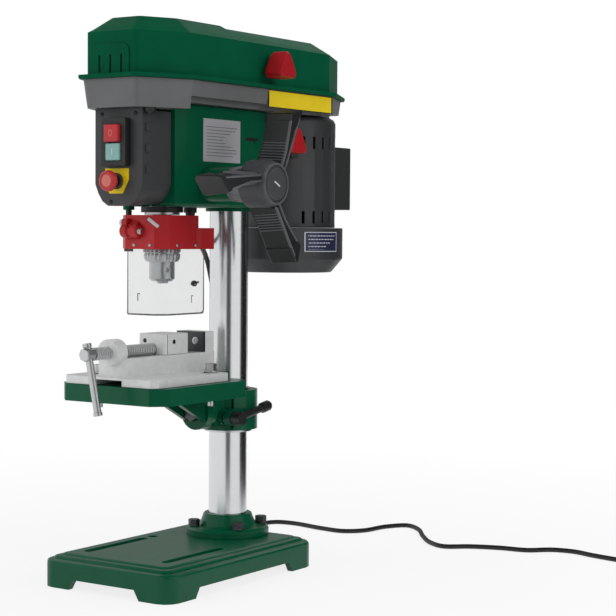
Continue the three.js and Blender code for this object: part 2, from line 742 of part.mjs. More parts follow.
function basePlate() {
  const shoulder = BASE_HEIGHT - BASE_RIM_RISE;
  const outer = baseOutline();
  const front = BASE_REAR - BASE_LENGTH;
  const half = BASE_WIDTH / 2;
  const middle = (front + BASE_REAR) / 2;
  const rim = BASE_RIM_SHARES.map(([inset, rise]) => {
    const depth = Math.min(inset * BASE_RIM_WIDTH, BASE_RIM_WIDTH);
    const corner = Math.max(BASE_CORNER - depth, BASE_CORNER / CORNER_STEPS);
    const edge = rectangle(-half + depth, half - depth, front + depth, BASE_REAR - depth);
    return [rounded(edge, corner), shoulder + rise * BASE_RIM_RISE];
  });
  const body = levels([[outer, 0], ...rim]);
  const pocket = rounded(
    rectangle(-half + BASE_WALL, half - BASE_WALL, front + BASE_WALL, BASE_REAR - BASE_WALL),
      BASE_CORNER / 2);
  const archX = half - FOOT_FRONT_LENGTH;
  const archY = BASE_LENGTH / 2 - FOOT_SIDE_LENGTH;
  const arch = (reach, centre) => [
    [centre - reach - FOOT_FLARE * OVERRUN / FOOT_HEIGHT, -OVERRUN],
    [centre + reach + FOOT_FLARE * OVERRUN / FOOT_HEIGHT, -OVERRUN],
    [centre + reach - FOOT_FLARE, FOOT_HEIGHT], [centre - reach + FOOT_FLARE, FOOT_HEIGHT],
  ];
  const slotY = front + BASE_SLOT_FROM_FRONT + BASE_SLOT_LENGTH / 2;
  const holeY = slotY + BASE_SLOT_LENGTH / 2 + 2 * OIL_HOLE_RADIUS;
  const top = BASE_HEIGHT + OVERRUN;
  return cut(
    body,
    prism(pocket, -OVERRUN, shoulder),
    prismY(arch(archX, 0), front - OVERRUN, BASE_REAR + OVERRUN),
    prismX(arch(archY, middle), -half - OVERRUN, half + OVERRUN),
    prism(slotOutline(BASE_SLOT_X, slotY, BASE_SLOT_LENGTH, BASE_SLOT_WIDTH, 90), 0, top),
    prism(slotOutline(-BASE_SLOT_X, slotY, BASE_SLOT_LENGTH, BASE_SLOT_WIDTH, 90), 0, top),
    upright(bar(OIL_HOLE_RADIUS, 0, top), -BASE_SLOT_X, holeY, SMALL_SIDES),
    ...flangeBoltPlaces().map(([x, y]) => upright(bar(FLANGE_BOLT_RADIUS + FIT, 0, top), x, y, SMALL_SIDES)),
  );
}

function flangeBoltPlaces() {
  const places = [];
  for (let k = 0; k < FLANGE_BOLTS; k += 1) {
    const angle = THREE.MathUtils.degToRad(FLANGE_BOLT_TURN + 360 * k / FLANGE_BOLTS);
    places.push([FLANGE_BOLT_CIRCLE * Math.cos(angle), FLANGE_BOLT_CIRCLE * Math.sin(angle)]);
  }
  return places;
}

function columnFlange() {
  const bore = COLUMN_RADIUS + FIT;
  const top = FLANGE_BOTTOM + FLANGE_THICKNESS;
  const edge = (FLANGE_RADIUS - SOCKET_FOOT_RADIUS) / MEDIUM_SIDES;
  const profile = [
    [bore, FLANGE_BOTTOM], [FLANGE_RADIUS, FLANGE_BOTTOM], [FLANGE_RADIUS, top - 3 * edge],
    [FLANGE_RADIUS - 3 * edge, top], [SOCKET_FOOT_RADIUS + 2 * edge, top], [SOCKET_FOOT_RADIUS,
      top + 3 * edge],
    [SOCKET_TOP_RADIUS, FLANGE_BOTTOM + SOCKET_HEIGHT - edge], [SOCKET_TOP_RADIUS - edge,
      FLANGE_BOTTOM + SOCKET_HEIGHT],
    [bore, FLANGE_BOTTOM + SOCKET_HEIGHT], [bore, FLANGE_BOTTOM],
  ];
  const holes = flangeBoltPlaces().map(([x, y]) =>
    upright(bar(FLANGE_BOLT_RADIUS + FIT, FLANGE_BOTTOM - OVERRUN, top + OVERRUN), x, y, SMALL_SIDES));
  return cut(upright(profile, 0, 0), ...holes);
}

function hexBolt(x, y, seat, radius, length) {
  const washerTop = seat + BOLT_WASHER_THICKNESS;
  return join(
    upright(bar(radius, seat - length, washerTop), x, y, SMALL_SIDES),
    upright(bar(BOLT_WASHER_RADIUS, seat, washerTop), x, y, SMALL_SIDES),
    upright(bar(BOLT_HEAD_RADIUS, washerTop, washerTop + BOLT_HEAD_HEIGHT), x, y, HEX_SIDES),
  );
}

// Head casting
function headOutline() {
  const points = [
    [-HEAD_HALF_WIDTH, HEAD_NOSE_Y + HEAD_NOSE_TAPER], [-HEAD_NOSE_HALF_WIDTH, HEAD_NOSE_Y],
    [HEAD_NOSE_HALF_WIDTH, HEAD_NOSE_Y], [HEAD_HALF_WIDTH, HEAD_NOSE_Y + HEAD_NOSE_TAPER],
  ];
  for (let k = 0; k <= SMALL_SIDES; k += 1) {
    const angle = Math.PI * k / SMALL_SIDES;
    points.push([HEAD_HALF_WIDTH * Math.cos(angle), HEAD_HALF_WIDTH * Math.sin(angle)]);
  }
  return points;
}

function headCasting() {
  const edge = FIT * SMALL_SIDES;
  const body = levels([
    [grown(headOutline(), -edge), HEAD_BOTTOM], [headOutline(), HEAD_BOTTOM + edge],
    [headOutline(), HEAD_TOP - edge / 2], [grown(headOutline(), -edge / 2), HEAD_TOP],
  ]);
  const roof = COLUMN_TOP + FIT;
  const ears = [-EAR_X, EAR_X].map((x) => alongY(bar(EAR_RADIUS, -EAR_RADIUS, EAR_REACH), x, EAR_Z,
    MEDIUM_SIDES));
  const earBores = [-EAR_X, EAR_X].map((x) =>
    alongY(bar(SLIDE_BAR_RADIUS + FIT, EAR_REACH - EAR_BORE_DEPTH, EAR_REACH + OVERRUN), x, EAR_Z,
      SMALL_SIDES));
  const whole = join(
    body,
    upright(bar(HEAD_COLLAR_RADIUS, HEAD_BOTTOM - HEAD_COLLAR_DROP, HEAD_BOTTOM + edge), 0, 0),
    alongX(bar(FEED_BOSS_RADIUS, 0, FEED_BOSS_REACH), FEED_Y, FEED_Z),
    alongX(bar(SPRING_BOSS_RADIUS, -SPRING_BOSS_REACH, 0), FEED_Y, FEED_Z),
    alongX(bar(KNOB_BOSS_RADIUS, EAR_X, KNOB_BOSS_REACH), KNOB_BOSS_Y, EAR_Z, MEDIUM_SIDES),
    guardLug(),
    ...ears,
  );
  const pinionRoom = PINION_RADIUS + RACK_MODULE + SLIDE_FIT;
  return cut(
    whole,
    upright(bar(COLUMN_RADIUS + FIT, 0, roof), 0, 0),
    upright(bar(QUILL_RADIUS + FIT, 0, QUILL_ROOF), 0, -THROAT),
    upright(bar(PULLEY_SLEEVE_RADIUS + FIT, QUILL_ROOF - OVERRUN, HEAD_TOP + OVERRUN), 0, -THROAT,
      MEDIUM_SIDES),
    alongX(bar(FEED_SHAFT_RADIUS + FIT, -SPRING_BOSS_REACH - OVERRUN, FEED_BOSS_REACH + OVERRUN),
      FEED_Y, FEED_Z, MEDIUM_SIDES),
    alongX(bar(pinionRoom, -PINION_HALF_LENGTH - SLIDE_FIT, PINION_HALF_LENGTH + SLIDE_FIT), FEED_Y, FEED_Z,
      MEDIUM_SIDES),
    alongX(bar(KNOB_STEM_RADIUS + FIT, EAR_X + SLIDE_BAR_RADIUS, KNOB_BOSS_REACH + OVERRUN),
      KNOB_BOSS_Y, EAR_Z, SMALL_SIDES),
    upright(bar(GUARD_ROD_RADIUS + FIT, 0, GUARD_LUG_TOP + OVERRUN), -GUARD_PIVOT_X, -THROAT - GUARD_PIVOT_Y,
      SMALL_SIDES),
    ...earBores,
  );
}

// The lug beside the head's nose that holds the chuck guard's rod
function guardLug() {
  const bottom = HEAD_BOTTOM - GUARD_LUG_DROP;
  const y = -THROAT - GUARD_PIVOT_Y;
  return join(
    upright(bar(GUARD_LUG_RADIUS, bottom, GUARD_LUG_TOP), -GUARD_PIVOT_X, y, MEDIUM_SIDES),
    block(-GUARD_PIVOT_X, 0, y - GUARD_LUG_RADIUS, y + GUARD_LUG_RADIUS, HEAD_BOTTOM, GUARD_LUG_TOP),
  );
}

// Quill with its rack, spindle, bearing and chuck
function quill() {
  const bore = BEARING_RADIUS + FIT;
  const neck = SPINDLE_RADIUS + FIT;
  const profile = [
    [bore, QUILL_BOTTOM], [QUILL_RADIUS, QUILL_BOTTOM], [QUILL_RADIUS, QUILL_TOP], [neck, QUILL_TOP],
    [neck, QUILL_TOP - QUILL_TOP_WALL], [bore, QUILL_TOP - QUILL_TOP_WALL], [bore, QUILL_BOTTOM],
  ];
  const flatY = -THROAT + RACK_TIP;
  const pitch = Math.PI * RACK_MODULE;
  const lowest = QUILL_BOTTOM + COLLAR_HEIGHT + QUILL_DROP;
  const gaps = [];
  const first = Math.ceil((lowest - FEED_Z) / pitch);
  const last = Math.floor((QUILL_TOP - FEED_Z) / pitch);
  for (let k = first; k <= last; k += 1) gaps.push(rackGap(FEED_Z + (k + 0.5) * pitch, flatY));
  const flat = block(-QUILL_RADIUS, QUILL_RADIUS, flatY, flatY + QUILL_RADIUS, lowest, QUILL_TOP + OVERRUN);
  return cut(upright(profile, 0, -THROAT), flat, ...gaps);
}

const TOOTH_SHARES = { addendum: 1, dedendum: 1.3, tipHalf: 0.38, rootHalf: 1.22 };

function rackGap(z, flatY) {
  const root = flatY - (TOOTH_SHARES.addendum + TOOTH_SHARES.dedendum) * RACK_MODULE;
  const mouth = Math.PI * RACK_MODULE / 2 - TOOTH_SHARES.tipHalf * RACK_MODULE;
  const floor = Math.PI * RACK_MODULE / 2 - TOOTH_SHARES.rootHalf * RACK_MODULE;
  const rise = (mouth - floor) * OVERRUN / (flatY - root);
  return prismX(
    [[root, z - floor], [flatY + OVERRUN, z - mouth - rise], [flatY + OVERRUN, z + mouth + rise], [root,
      z + floor]],
    -QUILL_RADIUS, QUILL_RADIUS);
}

function quillCollar() {
  const bottom = HEAD_BOTTOM - FIT - COLLAR_HEIGHT;
  return upright(ring(QUILL_RADIUS + FIT, COLLAR_RADIUS, bottom, bottom + COLLAR_HEIGHT), 0, -THROAT);
}

function quillBearing() {
  const bottom = QUILL_BOTTOM + BEARING_DEPTH;
  return upright(ring(SPINDLE_RADIUS + FIT, BEARING_RADIUS, bottom, bottom + BEARING_HEIGHT), 0, -THROAT,
    MEDIUM_SIDES);
}

function spindle() {
  const shoulderTop = QUILL_BOTTOM + BEARING_DEPTH - FIT;
  return upright([
    [0, CHUCK_TOP - SPINDLE_TAPER], [SPINDLE_RADIUS - 2 * FIT, CHUCK_TOP - SPINDLE_TAPER],
    [SPINDLE_RADIUS, CHUCK_TOP + FIT], [SPINDLE_SHOULDER_RADIUS, CHUCK_TOP + FIT],
    [SPINDLE_SHOULDER_RADIUS, shoulderTop], [SPINDLE_RADIUS, shoulderTop],
    [SPINDLE_RADIUS, HEAD_TOP + SPINDLE_ABOVE_HEAD], [0, HEAD_TOP + SPINDLE_ABOVE_HEAD],
  ], 0, -THROAT, MEDIUM_SIDES);
}

function chuckBody() {
  const noseTop = CHUCK_BOTTOM + CHUCK_NOSE_LENGTH;
  const coreTop = noseTop + CHUCK_SLEEVE_LENGTH + FIT;
  const neck = CHUCK_TOP - CHUCK_NECK_LENGTH;
  const bore = SPINDLE_RADIUS + FIT;
  const profile = [
    [0, CHUCK_BOTTOM], [CHUCK_NOSE_RADIUS - CHUCK_NOSE_CHAMFER, CHUCK_BOTTOM],
    [CHUCK_NOSE_RADIUS, CHUCK_BOTTOM + CHUCK_NOSE_CHAMFER], [CHUCK_NOSE_RADIUS, noseTop],
    [CHUCK_CORE_RADIUS, noseTop + FIT], [CHUCK_CORE_RADIUS, coreTop], [CHUCK_HEAD_RADIUS, coreTop],
    [CHUCK_HEAD_RADIUS, neck], [CHUCK_NECK_RADIUS, neck], [CHUCK_NECK_RADIUS, CHUCK_TOP], [bore, CHUCK_TOP],
    [bore - 2 * FIT, CHUCK_TOP - SPINDLE_TAPER - FIT], [0, CHUCK_TOP - SPINDLE_TAPER - FIT],
  ];
  const bores = [];
  for (let k = 0; k < JAWS; k += 1) {
    bores.push(jawRod(k, JAW_RADIUS + FIT, -JAW_LENGTH, JAW_LENGTH + JAW_TRAVEL + FIT));
    const hole = alongX(bar(KEY_HOLE_RADIUS, CHUCK_NOSE_RADIUS - KEY_HOLE_DEPTH, CHUCK_NOSE_RADIUS + OVERRUN),
      0, CHUCK_BOTTOM + KEY_HOLE_UP, SMALL_SIDES);
    bores.push(hole.rotateZ(jawAngle(k) + Math.PI / JAWS).translate(0, -THROAT, 0));
  }
  return cut(upright(profile, 0, -THROAT, MEDIUM_SIDES), ...bores);
}

function chuckSleeve() {
  const bottom = CHUCK_BOTTOM + CHUCK_NOSE_LENGTH + FIT;
  const top = bottom + CHUCK_SLEEVE_LENGTH - FIT;
  const inner = CHUCK_CORE_RADIUS + FIT;
  const profile = [
    [inner, bottom], [inner + FIT, bottom], [CHUCK_SLEEVE_RADIUS, bottom + CHUCK_SLEEVE_BEVEL],
    [CHUCK_SLEEVE_RADIUS, top - CHUCK_SLEEVE_BEVEL / 2], [CHUCK_SLEEVE_RADIUS - CHUCK_SLEEVE_BEVEL / 2, top],
    [inner, top], [inner, bottom],
  ];
  return upright(profile, 0, -THROAT, ROUND_SIDES);
}

function jawAngle(k) {
  return 2 * Math.PI * k / JAWS - Math.PI / 2;
}

function jawRod(k, radius, from, to) {
  const tilt = THREE.MathUtils.degToRad(JAW_TILT);
  const rod = upright(bar(radius, from, to), 0, 0, SMALL_SIDES);
  rod.rotateY(tilt).translate(JAW_OFFSET, 0, CHUCK_BOTTOM - JAW_PROUD);
  return rod.rotateZ(jawAngle(k)).translate(0, -THROAT, 0);
}

function chuckJaw(k) {
  const reach = 2 * CHUCK_SLEEVE_RADIUS;
  const side = Math.PI / JAWS;
  const wedge = prism([
    [FIT, 0], [FIT + reach * Math.cos(side), -reach * Math.sin(side)],
    [FIT + reach, 0], [FIT + reach * Math.cos(side), reach * Math.sin(side)],
  ], CHUCK_BOTTOM - JAW_PROUD, CHUCK_TOP);
  return common(jawRod(k, JAW_RADIUS, 0, JAW_LENGTH), wedge.rotateZ(jawAngle(k)).translate(0, -THROAT, 0));
}

// Feed shaft, depth collar, spring cap and handle
function feedShaft() {
  const right = FEED_BOSS_REACH + 2 * FIT + DEPTH_COLLAR_LENGTH + HUB_LENGTH - HUB_SKIN;
  const left = -SPRING_BOSS_REACH - SPRING_CAP_LENGTH + 2 * SPRING_CAP_WALL;
  return join(
    alongX(bar(FEED_SHAFT_RADIUS, left, right), FEED_Y, FEED_Z, MEDIUM_SIDES),
    prismX(pinionOutline(), -PINION_HALF_LENGTH, PINION_HALF_LENGTH),
  );
}

function pinionOutline() {
  const points = [];
  const pitch = 2 * Math.PI / PINION_TEETH;
  const root = PINION_RADIUS - TOOTH_SHARES.dedendum * RACK_MODULE;
  const tip = PINION_RADIUS + TOOTH_SHARES.addendum * RACK_MODULE - TOOTH_BACKLASH / 2;
  const tipHalf = TOOTH_SHARES.tipHalf * RACK_MODULE - TOOTH_BACKLASH / 2;
  const midHalf = Math.PI * RACK_MODULE / 4 - TOOTH_BACKLASH / 2;
  const rootHalf = TOOTH_SHARES.rootHalf * RACK_MODULE - TOOTH_BACKLASH;
  const at = (radius, angle) => points.push([FEED_Y + radius * Math.cos(angle),
    FEED_Z + radius * Math.sin(angle)]);
  for (let k = 0; k < PINION_TEETH; k += 1) {
    const middle = Math.PI + (k + 0.5) * pitch;
    at(root, middle - rootHalf / root);
    at(PINION_RADIUS, middle - midHalf / PINION_RADIUS);
    at(tip, middle - tipHalf / tip);
    at(tip, middle + tipHalf / tip);
    at(PINION_RADIUS, middle + midHalf / PINION_RADIUS);
    at(root, middle + rootHalf / root);
  }
  return points;
}

function springCap() {
  const near = -SPRING_BOSS_REACH - FIT;
  const far = near - SPRING_CAP_LENGTH;
  const inner = SPRING_CAP_RADIUS - SPRING_CAP_WALL;
  return alongX([
    [0, far], [inner, far], [SPRING_CAP_RADIUS, far + SPRING_CAP_WALL], [SPRING_CAP_RADIUS, near], [inner,
      near],
    [inner, far + SPRING_CAP_WALL], [0, far + SPRING_CAP_WALL],
  ], FEED_Y, FEED_Z);
}

function depthCollar() {
  const near = FEED_BOSS_REACH + FIT;
  return alongX(ring(FEED_SHAFT_RADIUS + FIT, DEPTH_COLLAR_RADIUS, near, near + DEPTH_COLLAR_LENGTH),
    FEED_Y, FEED_Z);
}

const HUB_NEAR = FEED_BOSS_REACH + 2 * FIT + DEPTH_COLLAR_LENGTH;
const HUB_FAR = HUB_NEAR + HUB_LENGTH;

function handleHub() {
  const bore = FEED_SHAFT_RADIUS + FIT;
  const seat = HUB_FAR - HUB_SKIN + FIT;
  return alongX([
    [bore, HUB_NEAR], [HUB_RADIUS, HUB_NEAR], [HUB_RADIUS, HUB_FAR - HUB_LENGTH / 4], [HUB_FACE_RADIUS,
      HUB_FAR],
    [HUB_CAP_RADIUS, HUB_FAR], [HUB_CAP_RADIUS - HUB_CAP_RISE / 2, HUB_FAR + HUB_CAP_RISE],
    [0, HUB_FAR + HUB_CAP_RISE], [0, seat], [bore, seat], [bore, HUB_NEAR],
  ], FEED_Y, FEED_Z);
}

// One arm, drawn in the plane across the shaft: along it, then across it. Its straight back trails behind the
// spoke that it starts from, its tip is cut aslant, and it is a little thicker beside the head than at its
// face
function armOutline(spread) {
  const back = -ARM_BACK - spread;
  const front = ARM_BLADE - ARM_BACK + spread;
  return [
    [ARM_START, back - spread], [ARM_WAIST, back], [ARM_REACH, back + spread / 2],
    [ARM_HEEL, ARM_TIP_HALF - ARM_INNER_SPREAD + spread], [ARM_WAIST, front], [ARM_START, front + spread],
  ];
}

function handleArm(k) {
  const outerX = HUB_FAR - ARM_INSET;
  const ringAt = (x, spread) => armOutline(spread).map(([along, across]) => [x, along, across]);
  const arm = loft([
    ringAt(ARM_INNER_X, ARM_INNER_SPREAD - ARM_INSET), ringAt(ARM_INNER_X + ARM_INSET, ARM_INNER_SPREAD),
    ringAt(outerX - ARM_INSET, 0), ringAt(outerX, -ARM_INSET / 2),
  ]);
  arm.rotateX(Math.PI + THREE.MathUtils.degToRad(ARM_TURN) + 2 * Math.PI * k / ARMS).translate(0, FEED_Y,
    FEED_Z);
  return cut(
    arm,
    alongX(bar(HUB_RADIUS + FIT, ARM_INNER_X - OVERRUN, HUB_FAR + OVERRUN), FEED_Y, FEED_Z),
  );
}

// Belt housing and lid share one outline
function coverOutline() {
  return [
    [COVER_FRONT_HALF, -COVER_FRONT], [COVER_HALF_WIDTH, -COVER_FRONT + COVER_FRONT_TAPER],
    [COVER_HALF_WIDTH, COVER_REAR - COVER_REAR_TAPER], [COVER_REAR_HALF, COVER_REAR],
    [-COVER_REAR_HALF, COVER_REAR], [-COVER_HALF_WIDTH, COVER_REAR - COVER_REAR_TAPER],
    [-COVER_HALF_WIDTH, -COVER_FRONT + COVER_FRONT_TAPER], [-COVER_FRONT_HALF, -COVER_FRONT],
  ];
}

function coverRing(growth) {
  return rounded(grown(coverOutline(), growth), COVER_CORNER, COVER_CORNER_STEPS);
}

function frontRing(growth) {
  const rear = -COVER_FRONT + LID_FRONT_LENGTH;
  const outline = [
    [COVER_FRONT_HALF, -COVER_FRONT], [COVER_HALF_WIDTH, -COVER_FRONT + COVER_FRONT_TAPER],
    [COVER_HALF_WIDTH, rear], [-COVER_HALF_WIDTH, rear],
    [-COVER_HALF_WIDTH, -COVER_FRONT + COVER_FRONT_TAPER], [-COVER_FRONT_HALF, -COVER_FRONT],
  ];
  return rounded(grown(outline, growth), COVER_CORNER, COVER_CORNER_STEPS);
}

const HINGE_X = -COVER_HALF_WIDTH - LID_RIM_WIDTH - HINGE_RADIUS - HINGE_CLEAR;

function beltHousing() {
  const noseRear = -COVER_FRONT + HOUSING_NOSE_LENGTH;
  const wide = COVER_HALF_WIDTH + 2 * OVERRUN;
  const noseFloor = HOUSING_NOSE_BOTTOM + COVER_WALL;
  const floor = HOUSING_BOTTOM + COVER_WALL;
  const noseRoom = common(
    prism(coverRing(-COVER_WALL), noseFloor, HOUSING_TOP + OVERRUN),
    block(-wide, wide, -COVER_FRONT, noseRear - COVER_WALL, noseFloor, HOUSING_TOP + OVERRUN));
  const lip = HOUSING_BOTTOM + HOUSING_LIP;
  const shell = cut(
    levels([[coverRing(0), HOUSING_NOSE_BOTTOM], [coverRing(HOUSING_DRAFT), HOUSING_TOP]]),
    block(-wide, wide, noseRear, COVER_REAR + OVERRUN, HOUSING_NOSE_BOTTOM - OVERRUN, HOUSING_BOTTOM),
    cut(
      block(-wide, wide, noseRear, COVER_REAR + 2 * OVERRUN, HOUSING_NOSE_BOTTOM - OVERRUN, lip),
      prism(coverRing(-HOUSING_LIP_INSET), HOUSING_NOSE_BOTTOM - 2 * OVERRUN, HOUSING_TOP),
    ),
    prism(coverRing(-COVER_WALL - HOUSING_LIP_INSET), floor, HOUSING_TOP + OVERRUN),
    prism(coverRing(-COVER_WALL), lip + COVER_WALL, HOUSING_TOP + OVERRUN),
    noseRoom,
    upright(bar(PULLEY_SLEEVE_RADIUS + 2 * FIT, HOUSING_BOTTOM - OVERRUN, floor + OVERRUN), 0, -THROAT,
      MEDIUM_SIDES),
    prism(slotOutline(0, MOTOR_Y - MOTOR_TRAVEL / 2, 2 * MOTOR_SHAFT_RADIUS + MOTOR_TRAVEL + 2 * OVERRUN,
      2 * MOTOR_SHAFT_RADIUS + 2 * OVERRUN, 90), HOUSING_BOTTOM - OVERRUN, floor + OVERRUN),
  );
  const plug = upright([
    [0, HOUSING_NOSE_BOTTOM - HOUSING_PLUG_HEIGHT], [HOUSING_PLUG_RADIUS / 2,
      HOUSING_NOSE_BOTTOM - HOUSING_PLUG_HEIGHT],
    [HOUSING_PLUG_RADIUS, HOUSING_NOSE_BOTTOM - HOUSING_PLUG_HEIGHT / 2],
    [HOUSING_PLUG_RADIUS, HOUSING_NOSE_BOTTOM + COVER_WALL / 2], [0, HOUSING_NOSE_BOTTOM + COVER_WALL / 2],
  ], SWITCH_HALF_WIDTH + HOUSING_PLUG_RADIUS + FIT, -COVER_FRONT + COVER_FRONT_TAPER / 3, SMALL_SIDES);
  return join(shell, plug, ...hingeHalves(-1));
}

// The hinge along the left side: the housing's knuckles carry the pins, and the lid's knuckles turn on them
function hingeHalves(side) {
  const parts = [];
  for (const station of [-HINGE_STATION, HINGE_STATION]) {
    const start = side < 0 ? station - HINGE_KNUCKLE : station + FIT;
    const low = side < 0 ? HOUSING_TOP - 2 * HINGE_RADIUS : LID_BOTTOM;
    const knuckle = join(
      alongY(bar(HINGE_RADIUS, start, start + HINGE_KNUCKLE), HINGE_X, LID_BOTTOM, SMALL_SIDES),
      side < 0
        ? block(HINGE_X, -COVER_HALF_WIDTH + COVER_WALL / 2, start, start + HINGE_KNUCKLE, low, HOUSING_TOP)
        : block(HINGE_X, -COVER_HALF_WIDTH - LID_RIM_WIDTH / 2, start, start + HINGE_KNUCKLE, low,
          LID_BOTTOM + HINGE_RADIUS),
    );
    if (side < 0) {
      const pinEnd = station + HINGE_KNUCKLE;
      parts.push(join(knuckle, alongY(bar(HINGE_PIN_RADIUS, start, pinEnd), HINGE_X, LID_BOTTOM,
        SMALL_SIDES)));
    } else {
      const bore = bar(HINGE_PIN_RADIUS + FIT, start - OVERRUN, start + HINGE_KNUCKLE + OVERRUN);
      parts.push(cut(knuckle, alongY(bore, HINGE_X, LID_BOTTOM, SMALL_SIDES)));
    }
  }
  return parts;
}

function lid() {
  const rearTop = LID_SHOULDER_Z + LID_REAR_RISE;
  const frontTop = LID_SHOULDER_Z + LID_FRONT_RISE;
  const outside = join(
    levels([
      [coverRing(0), LID_BOTTOM], [coverRing(0), LID_SHOULDER_Z], [coverRing(-LID_BEVEL), rearTop],
    ]),
    levels([
      [frontRing(-COVER_WALL / 3), LID_SHOULDER_Z - LID_SHOULDER], [frontRing(-COVER_WALL / 3),
        LID_SHOULDER_Z],
      [frontRing(-LID_BEVEL), frontTop],
    ]),
    levels([
      [coverRing(LID_RIM_WIDTH - COVER_WALL / 3), LID_BOTTOM], [coverRing(LID_RIM_WIDTH),
        LID_BOTTOM + LID_RIM_HEIGHT / 3],
      [coverRing(LID_RIM_WIDTH), LID_BOTTOM + LID_RIM_HEIGHT],
    ]),
    prismY(rounded(rectangle(-LID_ARCH_HALF, LID_ARCH_HALF, LID_BOTTOM + LID_ARCH_UP - LID_ARCH_CORNER,
      LID_BOTTOM + LID_ARCH_UP + LID_ARCH_HEIGHT), LID_ARCH_CORNER), -COVER_FRONT - LID_ARCH_RISE,
    -COVER_FRONT + COVER_WALL / 2),
  );
  const inside = levels([
    [coverRing(-COVER_WALL), LID_BOTTOM - OVERRUN], [coverRing(-COVER_WALL), LID_SHOULDER_Z - COVER_WALL],
    [coverRing(-LID_BEVEL), rearTop - COVER_WALL],
  ]);
  const below = block(-COVER_HALF_WIDTH, COVER_HALF_WIDTH, -COVER_FRONT - COVER_HALF_WIDTH,
    -COVER_FRONT + COVER_WALL,
    LID_BOTTOM - LID_ARCH_CORNER - OVERRUN, LID_BOTTOM);
  const louvres = [];
  for (let k = 0; k < LOUVRES; k += 1) {
    const x = (k - (LOUVRES - 1) / 2) * LOUVRE_PITCH;
    louvres.push(block(x - LOUVRE_WIDTH / 2, x + LOUVRE_WIDTH / 2, -COVER_FRONT - OVERRUN,
      -COVER_FRONT + COVER_WALL + OVERRUN, LID_BOTTOM + LID_ARCH_UP + FIT,
        LID_BOTTOM + LID_ARCH_UP + LOUVRE_HEIGHT));
  }
  const stemHole = alongX(bar(KNOB_STEM_RADIUS + FIT, COVER_HALF_WIDTH - 2 * COVER_WALL,
    COVER_HALF_WIDTH + OVERRUN),
    -LID_KNOB_Y, LID_BOTTOM + LID_KNOB_UP, SMALL_SIDES);
  return join(cut(outside, inside, below, stemHole, ...louvres), ...hingeHalves(1));
}

// A three cornered knob on a stem along X
function knobOutline(y, z, size) {
  const corners = [];
  for (let k = 0; k < 3; k += 1) {
    const angle = Math.PI / 2 + 2 * Math.PI * k / 3;
    corners.push([y + size * Math.cos(angle), z + size * Math.sin(angle)]);
  }
  return rounded(corners, KNOB_CORNER);
}

function knobBody(x, y, z) {
  const ringAt = (at, size) => knobOutline(y, z, size).map(([v, w]) => [at, v, w]);
  return loft([
    ringAt(x, KNOB_SIZE - KNOB_TAPER), ringAt(x + KNOB_TAPER, KNOB_SIZE),
    ringAt(x + KNOB_DEPTH - KNOB_TAPER, KNOB_SIZE), ringAt(x + KNOB_DEPTH, KNOB_SIZE - KNOB_TAPER),
  ]);
}

function lidKnob() {
  const z = LID_BOTTOM + LID_KNOB_UP;
  const start = COVER_HALF_WIDTH - COVER_WALL - 2 * FIT - LATCH_THICKNESS;
  const seat = COVER_HALF_WIDTH + KNOB_STEM_GAP;
  return join(
    alongX(bar(KNOB_STEM_RADIUS, start, seat + KNOB_TAPER), -LID_KNOB_Y, z, SMALL_SIDES),
    block(start, start + LATCH_THICKNESS, -LID_KNOB_Y - LATCH_WIDTH / 2, -LID_KNOB_Y + LATCH_WIDTH / 2,
      z - LATCH_REACH, z + LATCH_WIDTH / 2),
    knobBody(seat, -LID_KNOB_Y, z),
  );
}

function motorLockKnob() {
  const seat = KNOB_BOSS_REACH + FIT;
  const tip = EAR_X + SLIDE_BAR_RADIUS + 2 * FIT;
  return join(
    alongX(bar(KNOB_STEM_RADIUS, tip, seat + KNOB_TAPER), KNOB_BOSS_Y, EAR_Z, SMALL_SIDES),
    knobBody(seat, KNOB_BOSS_Y, EAR_Z),
  );
}

// Stepped pulleys: the spindle's grows downwards and the motor's grows upwards, so the middle steps are alike
function pulleyProfile(direction, bore, foot) {
  const profile = [];
  for (let k = 0; k < PULLEY_STEPS; k += 1) {
    const radius = PULLEY_MIDDLE_RADIUS + direction * (k - (PULLEY_STEPS - 1) / 2) * PULLEY_STEP_CHANGE;
    const z = PULLEY_BOTTOM + k * PULLEY_STEP_HEIGHT;
    const middle = z + PULLEY_STEP_HEIGHT / 2;
    profile.push([radius, z], [radius - PULLEY_GROOVE, middle - PULLEY_GROOVE_HALF]);
    profile.push([radius - PULLEY_GROOVE, middle + PULLEY_GROOVE_HALF], [radius, z + PULLEY_STEP_HEIGHT]);
  }
  const top = PULLEY_BOTTOM + PULLEY_HEIGHT;
  return [...foot, ...profile, [bore, top], [bore, foot[0][1]]];
}

function spindlePulley() {
  const bore = SPINDLE_RADIUS + FIT;
  const foot = HEAD_TOP + FIT - PULLEY_SLEEVE_LENGTH;
  const profile = pulleyProfile(-1, bore, [
    [bore, foot], [PULLEY_SLEEVE_RADIUS, foot], [PULLEY_SLEEVE_RADIUS, PULLEY_BOTTOM],
  ]);
  return upright(profile, 0, -THROAT, PULLEY_SIDES);
}

function motorPulley() {
  const bore = MOTOR_SHAFT_RADIUS + FIT;
  return upright(pulleyProfile(1, bore, [[bore, PULLEY_BOTTOM]]), 0, MOTOR_Y, PULLEY_SIDES);
}

function beltRing(radius, z) {
  const points = [];
  for (let k = 0; k <= MEDIUM_SIDES; k += 1) {
    const angle = Math.PI * k / MEDIUM_SIDES;
    points.push([radius * Math.cos(angle), MOTOR_Y + radius * Math.sin(angle), z]);
  }
  for (let k = 0; k <= MEDIUM_SIDES; k += 1) {
    const angle = Math.PI + Math.PI * k / MEDIUM_SIDES;
    points.push([radius * Math.cos(angle), -THROAT + radius * Math.sin(angle), z]);
  }
  return points;
}

